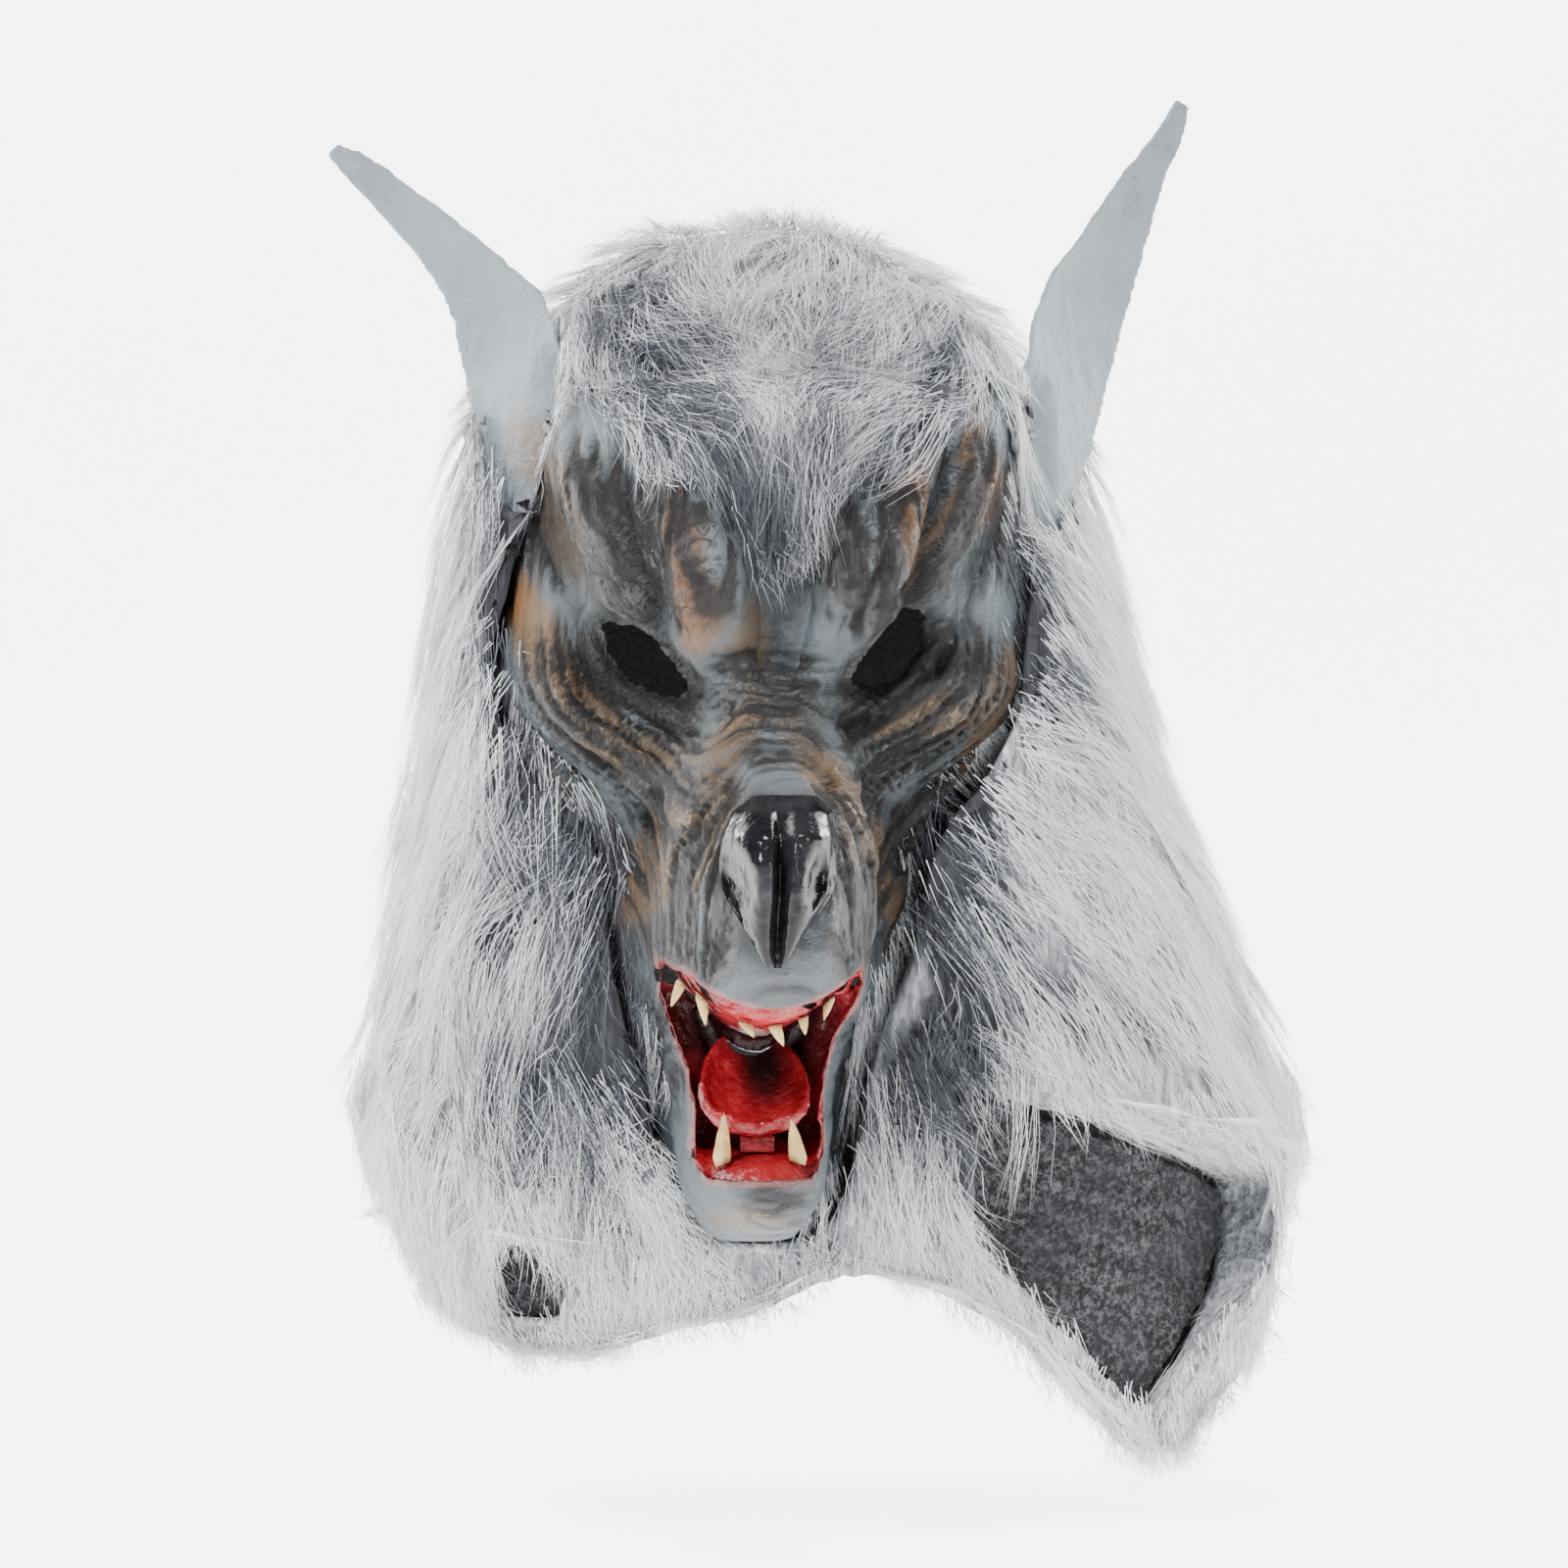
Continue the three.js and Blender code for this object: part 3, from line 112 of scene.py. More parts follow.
def set_up_lamps():
    for name, lamp in LAMPS.items():
        light = bpy.data.lights.new(name, "AREA")
        light.shape = "DISK"
        light.size = lamp["wide"]
        light.energy = lamp["power"]
        stand = bpy.data.objects.new(name, light)
        bpy.context.scene.collection.objects.link(stand)
        stand.location = lamp["at"]
        stand.rotation_euler = (LAMPS_AIM - Vector(lamp["at"])).to_track_quat("-Z", "Y").to_euler()
    room = bpy.data.worlds.new("room")
    bpy.context.scene.world = room
    room.use_nodes = True
    room.node_tree.nodes["Background"].inputs["Color"].default_value = (1, 1, 1, 1)
    room.node_tree.nodes["Background"].inputs["Strength"].default_value = ROOM_STRENGTH


set_up_lamps()
print("lamps:", ", ".join(LAMPS))

# %% [markdown]
# Each finish is a small node tree. The helpers below keep the trees short to read: one adds a
# node, one mixes two colours, and one reads a number that was painted on the points of a mesh.

# %% Helpers for finishes
# Sockets of a node that mixes two colours: the share of the second, both colours, the result
MIX_SHARE, MIX_FIRST, MIX_SECOND, MIX_RESULT = 0, 6, 7, 2


class Finish:
    """A new material, with short ways to add and join its nodes."""

    def __init__(self, name):
        self.material = bpy.data.materials.new(name)
        self.material.use_nodes = True
        self.tree = self.material.node_tree
        self.shader = self.tree.nodes["Principled BSDF"]
        self.place = self.add("ShaderNodeTexCoord").outputs["Object"]

    def add(self, kind, settings=None, **inputs):
        node = self.tree.nodes.new(kind)
        for key, value in (settings or {}).items():
            setattr(node, key, value)
        for key, value in inputs.items():
            self.feed(node.inputs[key.replace("_", " ")], value)
        return node

    def feed(self, socket, value):
        if isinstance(value, bpy.types.NodeSocket):
            self.tree.links.new(value, socket)
        else:
            socket.default_value = value

    def noise(self, scale, detail=4.0, roughness=0.55, place=None):
        """Noise from 0 to 1 that uses its whole range."""
        node = self.add("ShaderNodeTexNoise", Scale=scale, Detail=detail, Roughness=roughness)
        self.feed(node.inputs["Vector"], place or self.place)
        return self.between(node.outputs["Fac"], 0.3, 0.7)

    def between(self, value, low, high, to_low=0.0, to_high=1.0):
        """A soft step: one number at the low end of a range and another at its high end."""
        node = self.add("ShaderNodeMapRange", {"interpolation_type": "SMOOTHSTEP"}, Value=value)
        for key, number in zip(("From Min", "From Max", "To Min", "To Max"), (low, high, to_low, to_high)):
            node.inputs[key].default_value = number
        return node.outputs["Result"]

    def maths(self, operation, first, second):
        node = self.add("ShaderNodeMath", {"operation": operation})
        self.feed(node.inputs[0], first)
        self.feed(node.inputs[1], second)
        return node.outputs[0]

    def mix(self, share, first, second):
        """The first colour where the share is 0, the second where it is 1."""
        node = self.add("ShaderNodeMix", {"data_type": "RGBA"})
        self.feed(node.inputs[MIX_SHARE], share)
        self.feed(node.inputs[MIX_FIRST], colour(first))
        self.feed(node.inputs[MIX_SECOND], colour(second))
        return node.outputs[MIX_RESULT]

    def painted(self, name):
        """A number that was painted on the points of the mesh."""
        node = self.add("ShaderNodeAttribute", {"attribute_name": name})
        return node.outputs["Fac"]

    def relief(self, height, distance, strength, under=None):
        """A normal that shows a height as bumps, over those of another one."""
        node = self.add("ShaderNodeBump", Strength=strength, Distance=distance, Height=height)
        if under is not None:
            self.feed(node.inputs["Normal"], under)
        return node.outputs["Normal"]

    def finish(self, base, roughness, normal=None, **sockets):
        self.feed(self.shader.inputs["Base Color"], colour(base))
        self.feed(self.shader.inputs["Roughness"], roughness)
        if normal is not None:
            self.feed(self.shader.inputs["Normal"], normal)
        for key, value in sockets.items():
            self.feed(self.shader.inputs[key.replace("_", " ")], value)
        return self.material


def colour(value):
    """A colour with its fourth number, or the socket as it is."""
    return (*value, 1.0) if isinstance(value, tuple) else value


print("helpers for finishes are ready")

# %% [markdown]
# The photograph's background is plain white. Here it is one sheet that lies under the mask and
# sweeps up behind it, like the paper roll of a photo studio. A strip is extruded along the
# sweep's profile, which is a floor, a quarter circle and a wall. The paper glows, so that it
# comes out white, but not in front of the mask, where it would light the face flatly from below.

# %% Floor that sweeps up behind
FLOOR_DROP = 0.020
FLOOR_WIDE = 9.0
FLOOR_FRONT = -4.0
SWEEP_START = 1.6
SWEEP_RADIUS = 1.2
SWEEP_STEPS = 16
WALL_TOP = 4.0
PAPER_GLOW = 5.0
# The glow starts in front of the mask and is full from below it backwards, in metres along y
GLOW_FROM, GLOW_FULL = -0.7, -0.1


def sweep_profile(level):
    profile = [(FLOOR_FRONT, level), (SWEEP_START, level)]
    for step in range(1, SWEEP_STEPS + 1):
        turn = 0.5 * math.pi * step / SWEEP_STEPS
        y = SWEEP_START + SWEEP_RADIUS * math.sin(turn)
        profile.append((y, level + SWEEP_RADIUS * (1 - math.cos(turn))))
    profile.append((SWEEP_START + SWEEP_RADIUS, level + WALL_TOP))
    return profile


def make_floor():
    shape = bmesh.new()
    profile = sweep_profile(solids_box[0].z - FLOOR_DROP)
    line = [shape.verts.new((-FLOOR_WIDE / 2, y, z)) for y, z in profile]
    edges = [shape.edges.new(pair) for pair in zip(line, line[1:])]
    side = bmesh.ops.extrude_edge_only(shape, edges=edges)["geom"]
    moved = [part for part in side if isinstance(part, bmesh.types.BMVert)]
    bmesh.ops.translate(shape, verts=moved, vec=(FLOOR_WIDE, 0, 0))
    bmesh.ops.recalc_face_normals(shape, faces=shape.faces)
    mesh = bpy.data.meshes.new("floor")
    shape.to_mesh(mesh)
    mesh.shade_smooth()
    floor = bpy.data.objects.new("floor", mesh)
    bpy.context.scene.collection.objects.link(floor)
    paper = Finish("white_paper")
    tone = paper.mix(paper.noise(3.0), (0.50, 0.50, 0.50), (0.54, 0.54, 0.54))
    depth = paper.add("ShaderNodeSeparateXYZ", Vector=paper.place).outputs[1]
    strength = paper.between(depth, GLOW_FROM, GLOW_FULL, 0.0, PAPER_GLOW)
    glow = {"Emission_Color": (1, 1, 1, 1), "Emission_Strength": strength}
    mesh.materials.append(paper.finish(tone, 0.9, **glow))
    paper.material.cycles.emission_sampling = "NONE"
    return floor


floor = make_floor()
print("floor lies at", round(solids_box[0].z - FLOOR_DROP, 4), "m")

# %% [markdown]
# The solids are cut from flat facets, which suits a gauge but not a skin. Each latex piece is
# therefore a copy of its solid, wrapped anew in small even squares (a voxel remesh) and then
# relaxed. Relaxing pulls a thin wall together, so each step is followed by one that pushes
# back by the same amount, and only the facets disappear.

# %% Helpers for skins
MERGE_UNDER = 0.005 * MM


def points_of(mesh):
    points = np.empty(len(mesh.vertices) * 3, np.float32)
    mesh.vertices.foreach_get("co", points)
    return points.reshape(-1, 3).astype(float)


def move_points(mesh, points):
    mesh.vertices.foreach_set("co", points.astype(np.float32).ravel())
    mesh.update()


def normals_of(mesh):
    normals = np.empty(len(mesh.vertices) * 3, np.float32)
    mesh.vertex_normals.foreach_get("vector", normals)
    return normals.reshape(-1, 3).astype(float)


def paint(mesh, name, values):
    """Writes one number on each point, for a finish to read."""
    layer = mesh.attributes.get(name) or mesh.attributes.new(name, "FLOAT", "POINT")
    layer.data.foreach_set("value", np.asarray(values, np.float32))


def piece_from(name, mesh):
    piece = bpy.data.objects.new(name, mesh)
    bpy.context.scene.collection.objects.link(piece)
    return piece


def merged_copy(node):
    """The mesh of one solid with its loose triangles joined."""
    shape = bmesh.new()
    shape.from_mesh(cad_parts[node].data)
    bmesh.ops.remove_doubles(shape, verts=shape.verts, dist=MERGE_UNDER)
    mesh = bpy.data.meshes.new(node)
    shape.to_mesh(mesh)
    shape.free()
    return mesh


def wrapped(mesh, square):
    """A closed skin of even squares around a mesh."""
    piece = piece_from("wrap", mesh)
    remesh = piece.modifiers.new("wrap", "REMESH")
    remesh.mode = "VOXEL"
    remesh.voxel_size = square
    view = bpy.context.evaluated_depsgraph_get()
    skin = bpy.data.meshes.new_from_object(piece.evaluated_get(view))
    bpy.data.objects.remove(piece)
    return skin


def relaxed(mesh, rounds, pull=0.55, push=-0.57):
    """Points of a mesh after its facets are smoothed away, at nearly the same volume."""
    edges = np.empty(len(mesh.edges) * 2, np.int32)
    mesh.edges.foreach_get("vertices", edges)
    first, second = edges[0::2], edges[1::2]
    points = points_of(mesh)
    count = len(points)
    joined = np.bincount(first, minlength=count) + np.bincount(second, minlength=count)
    for step in range(2 * rounds):
        share = pull if step % 2 == 0 else push
        for axis in range(3):
            column = points[:, axis]
            total = np.bincount(first, column[second], count) + np.bincount(second, column[first], count)
            points[:, axis] = column + share * (total / np.maximum(joined, 1) - column)
    return points


def skin_of(nodes, square, rounds):
    """One relaxed skin around the solids of some nodes."""
    shape = bmesh.new()
    for node in nodes:
        shape.from_mesh(merged_copy(node))
    joined = bpy.data.meshes.new("joined")
    shape.to_mesh(joined)
    shape.free()
    skin = wrapped(joined, square)
    move_points(skin, relaxed(skin, rounds))
    skin.shade_smooth()
    skin.name = nodes[0]
    return skin


def dress(piece, slot, *nodes):
    """Puts a finished piece in place of its solids."""
    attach(piece, "root")
    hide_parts(*nodes)
    print(piece.name, "has", len(piece.data.polygons), "faces")
    return piece


def tree_from(meshes, unit=MM):
    """A search tree of some meshes, with its lengths in a unit."""
    shape = bmesh.new()
    for mesh in meshes:
        shape.from_mesh(mesh)
    bmesh.ops.scale(shape, vec=Vector((1, 1, 1)) / unit, verts=shape.verts)
    tree = BVHTree.FromBMesh(shape)
    shape.free()
    return tree


def tree_of(nodes, unit=MM):
    """A search tree of some solids."""
    return tree_from([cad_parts[node].data for node in nodes], unit)


def nearness(points, nodes, reach):
    """1 on the surface of some solids, falling to 0 at the reach from them, all in metres."""
    tree = tree_of(nodes, 1)
    near = np.zeros(len(points))
    for i, point in enumerate(points):
        hit = tree.find_nearest(Vector(point), reach)
        if hit[3] is not None:
            near[i] = 1 - hit[3] / reach
    return near


print("helpers for skins are ready")

# %% [markdown]
# Wrinkles, fur and paint all need randomness that is smooth and the same at each run. The
# noise below is a block of random numbers, read between its cells with a soft step. A seed
# picks another block.

# %% Smooth noise
NOISE_BLOCK = 32


def noise_at(points, cell, seed):
    """Smooth random values from -1 to 1 with lumps about one cell wide."""
    points = np.asarray(points, float)
    width = points.shape[1]
    block = np.random.default_rng(seed).uniform(-1, 1, (NOISE_BLOCK,) * width)
    grid = points / cell
    corner = np.floor(grid).astype(int)
    part = grid - corner
    part = part * part * (3 - 2 * part)
    total = np.zeros(len(points))
    for step in itertools.product((0, 1), repeat=width):
        weight = np.ones(len(points))
        for axis in range(width):
            weight *= part[:, axis] if step[axis] else 1 - part[:, axis]
        place = tuple((corner[:, axis] + step[axis]) % NOISE_BLOCK for axis in range(width))
        total += weight * block[place]
    return total


def smooth_step(values, low, high):
    """0 up to the low value, 1 from the high one on, and soft between them."""
    share = np.clip((values - low) / (high - low), 0, 1)
    return share * share * (3 - 2 * share)


print("noise block:", NOISE_BLOCK, "cells a side")

# %% [markdown]
# The skin of a snarling wolf lies in folds, and the folds follow the muscles: they run down
# the brows, circle under the eyes, cross the bridge of the nose and fall from its sides to the
# corners of the mouth. The table holds the direction of the folds at places chosen on the left
# half of the face. The right half mirrors it. Angles are in degrees from level, turning up.

# %% Directions of the folds
FACE_MIDDLE = 2.0
FOLDS = [
    {"at": "temple", "x": -61, "z": -40, "angle": 110},
    {"at": "forehead", "x": -44, "z": -50, "angle": 112},
    {"at": "brow", "x": -25, "z": -72, "angle": 100},
    {"at": "brow foot", "x": -15, "z": -95, "angle": 98},
    {"at": "between the brows", "x": -3, "z": -85, "angle": 92},
    {"at": "outer lid", "x": -53, "z": -74, "angle": 126},
    {"at": "lid", "x": -56, "z": -91, "angle": 140},
    {"at": "edge by the lid", "x": -71, "z": -88, "angle": 88},
    {"at": "edge by the eye", "x": -75, "z": -112, "angle": 97},
    {"at": "edge of the cheek", "x": -66, "z": -137, "angle": 132},
    {"at": "cheek", "x": -58, "z": -121, "angle": 126},
    {"at": "under the eye", "x": -47, "z": -112, "angle": 126},
    {"at": "under the eye, lower", "x": -50, "z": -135, "angle": 150},
    {"at": "middle of the pouch", "x": -36, "z": -126, "angle": 156},
    {"at": "foot of the cheek", "x": -36, "z": -142, "angle": 172},
    {"at": "inner pouch", "x": -24, "z": -122, "angle": 174},
    {"at": "pouch at the nose", "x": -22, "z": -135, "angle": 20},
    {"at": "root of the nose", "x": -14, "z": -124, "angle": 34},
    {"at": "bridge top", "x": 2, "z": -108, "angle": 0},
    {"at": "bridge", "x": 2, "z": -120, "angle": 0},
    {"at": "bridge end", "x": 2, "z": -134, "angle": 0},
    {"at": "side of the bridge", "x": -14, "z": -139, "angle": 48},
    {"at": "side of the nose", "x": -24, "z": -157, "angle": 62},
    {"at": "corner of the mouth", "x": -33, "z": -177, "angle": 76},
    {"at": "side of the mouth", "x": -34, "z": -202, "angle": 92},
    {"at": "side of the jaw", "x": -32, "z": -229, "angle": 88},
    {"at": "corner of the jaw", "x": -25, "z": -254, "angle": 150},
    {"at": "chin", "x": -4, "z": -264, "angle": 0},
    {"at": "lip", "x": -14, "z": -196, "angle": 18},
]
FOLD_MIX = 7.0
FIELD_STEP = 3.0
FIELD_LEFT, FIELD_RIGHT = -190.0, 190.0
FIELD_LOW, FIELD_HIGH = -290.0, 20.0


def both_sides(rows):
    """The rows of a left-hand table with their mirror images."""
    mirrored = []
    for row in rows:
        twin = dict(row, x=2 * FACE_MIDDLE - row["x"])
        if "angle" in row:
            twin["angle"] = 180 - row["angle"]
        mirrored.append(twin)
    return list(rows) + mirrored


def fold_field():
    """Direction of the folds on a grid over the face, as the cosine and sine of twice the angle."""
    across = np.arange(FIELD_LEFT, FIELD_RIGHT, FIELD_STEP)
    up = np.arange(FIELD_LOW, FIELD_HIGH, FIELD_STEP)
    x, z = np.meshgrid(across, up, indexing="ij")
    field = np.zeros(x.shape + (2,))
    for row in both_sides(FOLDS):
        away = (x - row["x"]) ** 2 + (z - row["z"]) ** 2
        weight = 1 / (away + FOLD_MIX**2) ** 2
        twice = math.radians(2 * row["angle"])
        field[..., 0] += weight * math.cos(twice)
        field[..., 1] += weight * math.sin(twice)
    return field / np.maximum(np.linalg.norm(field, axis=2, keepdims=True), 1e-9)


FOLD_FIELD = fold_field()


def fold_direction(places):
    """Unit directions of the folds at places given as across and up, in millimetres."""
    column = (places[:, 0] - FIELD_LEFT) / FIELD_STEP
    row = (places[:, 1] - FIELD_LOW) / FIELD_STEP
    column = np.clip(column, 0, FOLD_FIELD.shape[0] - 2)
    row = np.clip(row, 0, FOLD_FIELD.shape[1] - 2)
    i, j = column.astype(int), row.astype(int)
    s, t = (column - i)[:, None], (row - j)[:, None]
    low = FOLD_FIELD[i, j] * (1 - s) + FOLD_FIELD[i + 1, j] * s
    high = FOLD_FIELD[i, j + 1] * (1 - s) + FOLD_FIELD[i + 1, j + 1] * s
    twice = low * (1 - t) + high * t
    angle = 0.5 * np.arctan2(twice[:, 1], twice[:, 0])
    return np.stack([np.cos(angle), np.sin(angle)], axis=1)


def combed_noise(places, cell, reach, seed):
    """Noise drawn out along the folds: its mean on the way along them, forth and back."""
    stride = 0.6 * cell
    total = noise_at(places, cell, seed)
    count = 1
    for way in (1, -1):
        walker = places.copy()
        heading = way * fold_direction(places)
        for _ in range(int(reach / stride)):
            walker = walker + stride * heading
            turn = fold_direction(walker)
            turn *= np.where((turn * heading).sum(1) < 0, -1, 1)[:, None]
            heading = turn
            total += noise_at(walker, cell, seed)
            count += 1
    total /= count
    return (total - total.mean()) / total.std()


print("fold directions:", len(both_sides(FOLDS)))

# %% [markdown]
# Folds are soft ridges with narrow creases between them. Where smooth noise passes through
# zero there is a thin winding line, so those lines become the creases, and the noise between
# them the height of the ridges. Three sizes are laid over each other: the main folds, the
# wrinkles on them, and fine lines.

# %% Relief of the face
WRINKLES = [
    {"name": "fold", "cell": 6.5, "reach": 46.0, "height": 2.3, "crease": 0.42, "seed": 11},
    {"name": "wrinkle", "cell": 3.4, "reach": 30.0, "height": 1.15, "crease": 0.34, "seed": 23},
    {"name": "fine line", "cell": 1.9, "reach": 18.0, "height": 0.45, "crease": 0.32, "seed": 37},
]
# How strong the folds are: 1 in these places of the left half, fading over the reach
FOLD_STRENGTH = [
    {"x": -58, "z": -62, "reach": 24, "share": 0.85},
    {"x": -28, "z": -72, "reach": 26, "share": 0.95},
    {"x": -45, "z": -122, "reach": 30, "share": 1.0},
    {"x": 2, "z": -120, "reach": 22, "share": 0.75},
    {"x": -24, "z": -158, "reach": 24, "share": 0.95},
    {"x": -24, "z": -186, "reach": 16, "share": 0.75},
    {"x": 0, "z": -200, "reach": 14, "share": 0.45},
    {"x": -36, "z": -215, "reach": 30, "share": 0.5},
    {"x": 2, "z": -262, "reach": 18, "share": 0.45},
]
FOLD_REST = 0.22
LIP_PAD = {"x": 0, "z": -198, "reach": 12, "share": 0.25}
FACE_NODES = ["face_shell"]
FACE_SQUARE = 1.6 * MM
FACE_ROUNDS = 14
# How much of a row's height its ridges rise, and its creases sink
RIDGE_SHARE, CREASE_SHARE = 0.35, 0.9


def blob(points, x, z, reach):
    """1 at a place of the face, falling softly over the reach."""
    away = ((points[:, 0] - x) ** 2 + (points[:, 2] - z) ** 2) / reach**2
    return np.exp(-away)


def streak(points, row):
    """1 on a streak of paint, long along its angle and narrow across it."""
    turn = math.radians(row["angle"])
    x, z = points[:, 0] - row["x"], points[:, 2] - row["z"]
    along = (x * math.cos(turn) + z * math.sin(turn)) / row["along"]
    across = (z * math.cos(turn) - x * math.sin(turn)) / row["across"]
    return np.exp(-((along**2 + across**2) ** 1.5))


def face_places(points):
    """Places on the skin as if it were flattened: across from the middle, and up."""
    middle = np.abs(points[:, 0] - FACE_MIDDLE) < 12
    levels = np.arange(FIELD_LOW, FIELD_HIGH, 6.0)
    front = [points[middle & (np.abs(points[:, 2] - level) < 5), 1].min(initial=-60) for level in levels]
    depth = points[:, 1] - np.interp(points[:, 2], levels, front)
    x = points[:, 0] - FACE_MIDDLE
    share = smooth_step(np.abs(x), 4, 26)
    return np.stack([FACE_MIDDLE + x + np.sign(x) * 0.6 * depth * share, points[:, 2]], axis=1)


def fold_strength(points):
    """How strong the folds are at points of the face, from 0 to 1."""
    strength = np.full(len(points), FOLD_REST)
    for row in both_sides(FOLD_STRENGTH):
        strength = np.maximum(strength, row["share"] * blob(points, row["x"], row["z"], row["reach"]))
    pad = LIP_PAD["share"] * blob(points, LIP_PAD["x"], LIP_PAD["z"], LIP_PAD["reach"])
    return strength * (1 - pad)


def wrinkled(mesh):
    """Raises the folds on the outside of the face, and paints where their creases lie, for dark paint and
    painted shade.
    """
    points = points_of(mesh) / MM
    normals = normals_of(mesh)
    places = face_places(points)
    strength = fold_strength(points)
    outward = points * np.array([1, 1, 0]) + np.array([0, -30, 0])
    outward /= np.linalg.norm(outward, axis=1, keepdims=True)
    outside = smooth_step((normals * outward).sum(1), 0.02, 0.3)
    rise = np.zeros(len(points))
    crease = np.zeros(len(points))
    flow = np.zeros(len(points))
    for row in WRINKLES:
        ridge = combed_noise(places, row["cell"], row["reach"], row["seed"])
        line = np.exp(-((ridge / row["crease"]) ** 2))
        rise += row["height"] * (RIDGE_SHARE * np.tanh(ridge) - CREASE_SHARE * line)
        crease = np.maximum(crease, line * smooth_step(strength, 0.1, 0.6) * min(1, row["cell"] / 4))
        flow += row["height"] * ridge
        if row["name"] == "fold":
            paint(mesh, "ridge", 0.5 + 0.5 * np.tanh(ridge))
    # The creases are painted as a number, for dark paint and painted shade there
    paint(mesh, "crease", crease * outside)
    paint(mesh, "flow", flow)
    return points, normals, rise * strength * outside


face_mesh = skin_of(FACE_NODES, FACE_SQUARE, FACE_ROUNDS)
face_points, face_normals, face_rise = wrinkled(face_mesh)
print("face skin:", len(face_points), "points, relief", face_rise.min(), "to", face_rise.max(), "mm")

# %% [markdown]
# A cast latex mask is painted by hand: a blue-grey ground, washes of tan and rust along the
# folds, and dark paint wiped into the creases, where painted shade lies as well. Each wash is a
# soft streak that is long along its own angle. The dark streaks are partly dark paint and partly
# painted shade, round the eyes and in furrows and grooves. The streaks are painted on the points
# of the skin as numbers, one per colour, so that the material only has to mix the colours.

# %% Paint streaks on the face
PAINT = [
    {"name": "tan", "x": -60, "z": -58, "along": 26, "across": 8, "angle": 112, "share": 0.8},
    {"name": "tan", "x": -66, "z": -95, "along": 18, "across": 7, "angle": 110, "share": 0.8},
    {"name": "tan", "x": -55, "z": -112, "along": 30, "across": 6, "angle": 130, "share": 0.75},
    {"name": "tan", "x": -62, "z": -141, "along": 16, "across": 5, "angle": 140, "share": 0.8},
    {"name": "tan", "x": -34, "z": -133, "along": 20, "across": 5, "angle": 170, "share": 0.5},
    {"name": "tan", "x": -26, "z": -160, "along": 26, "across": 9, "angle": 58, "share": 0.85},
    {"name": "tan", "x": -10, "z": -128, "along": 16, "across": 6, "angle": 50, "share": 0.55},
    {"name": "tan", "x": -4, "z": -100, "along": 14, "across": 8, "angle": 90, "share": 0.5},
    {"name": "tan", "x": 63, "z": -36, "along": 16, "across": 3, "angle": 75, "share": 0.8},
    {"name": "tan", "x": 52, "z": -68, "along": 24, "across": 4, "angle": 55, "share": 0.7},
    {"name": "tan", "x": 66, "z": -124, "along": 26, "across": 5, "angle": 68, "share": 0.8},
    {"name": "tan", "x": 51, "z": -122, "along": 20, "across": 5, "angle": 15, "share": 0.6},
    {"name": "tan", "x": 25, "z": -155, "along": 34, "across": 7, "angle": 122, "share": 0.9},
    {"name": "tan", "x": -7, "z": -264, "along": 14, "across": 5, "angle": 0, "share": 0.4},
    {"name": "rust", "x": -23, "z": -70, "along": 26, "across": 4, "angle": 102, "share": 0.8},
    {"name": "rust", "x": -17, "z": -92, "along": 13, "across": 5, "angle": 97, "share": 0.75},
    {"name": "rust", "x": 41, "z": -68, "along": 26, "across": 5, "angle": 84, "share": 0.95},
    {"name": "rust", "x": 65.5, "z": -57, "along": 12, "across": 8, "angle": 60, "share": 0.8},
    {"name": "rust", "x": -72, "z": -82, "along": 12, "across": 6, "angle": 100, "share": 0.7},
    # Dark rows: partly dark paint, partly painted shade round the eyes and in furrows and grooves
    {"name": "dark", "x": -53, "z": -88, "along": 16, "across": 7, "angle": 150, "share": 0.8},
    {"name": "dark", "x": -5, "z": -90, "along": 14, "across": 5, "angle": 90, "share": 0.5},
    {"name": "dark", "x": -54, "z": -68, "along": 16, "across": 5, "angle": 120, "share": 0.9},
    {"name": "dark", "x": -66, "z": -50, "along": 22, "across": 4, "angle": 95, "share": 0.85},
    {"name": "dark", "x": 0, "z": -146, "along": 14, "across": 6, "angle": 0, "share": 0.6},
    {"name": "dark", "x": -34, "z": -178, "along": 12, "across": 5, "angle": 80, "share": 0.55},
    {"name": "dark", "x": 55, "z": -90, "along": 12, "across": 6, "angle": 40, "share": 0.75},
    {"name": "dark", "x": 28, "z": -72, "along": 14, "across": 5, "angle": 80, "share": 0.45},
    {"name": "dark", "x": 0, "z": -198, "along": 30, "across": 11, "angle": 0, "share": 0.3},
    {"name": "dark", "x": -4, "z": -262, "along": 24, "across": 9, "angle": 0, "share": 0.3},
]
print("streaks of paint:", len(PAINT))

# %% [markdown]
# Some forms of the face are larger than its wrinkles: brows, furrows, pouches, and the lids
# around the eyes. Each one is a soft streak that raises or sinks the skin by so many
# millimetres. The hollows are painted dark as well, as painted shade.

# %% Eyes and large forms
EYES = [
    {"x": -33.0, "z": -104.0, "along": 15.0, "across": 8.0, "angle": 140},
    {"x": 37.0, "z": -101.5, "along": 15.0, "across": 8.0, "angle": 46},
]
# Rings around an eye: where they lie, from 0 in its middle to 1 on its line, and how wide
# The dark ring round an eye is partly dark paint and partly painted shade in the socket
EYE_PAINT_AND_SHADE = {"share": 0.95, "at": 1.15, "wide": 0.5}
LID = {"rise": 1.6, "at": 1.45, "wide": 0.25}
LID_GROOVE = {"rise": -1.2, "at": 1.95, "wide": 0.2}
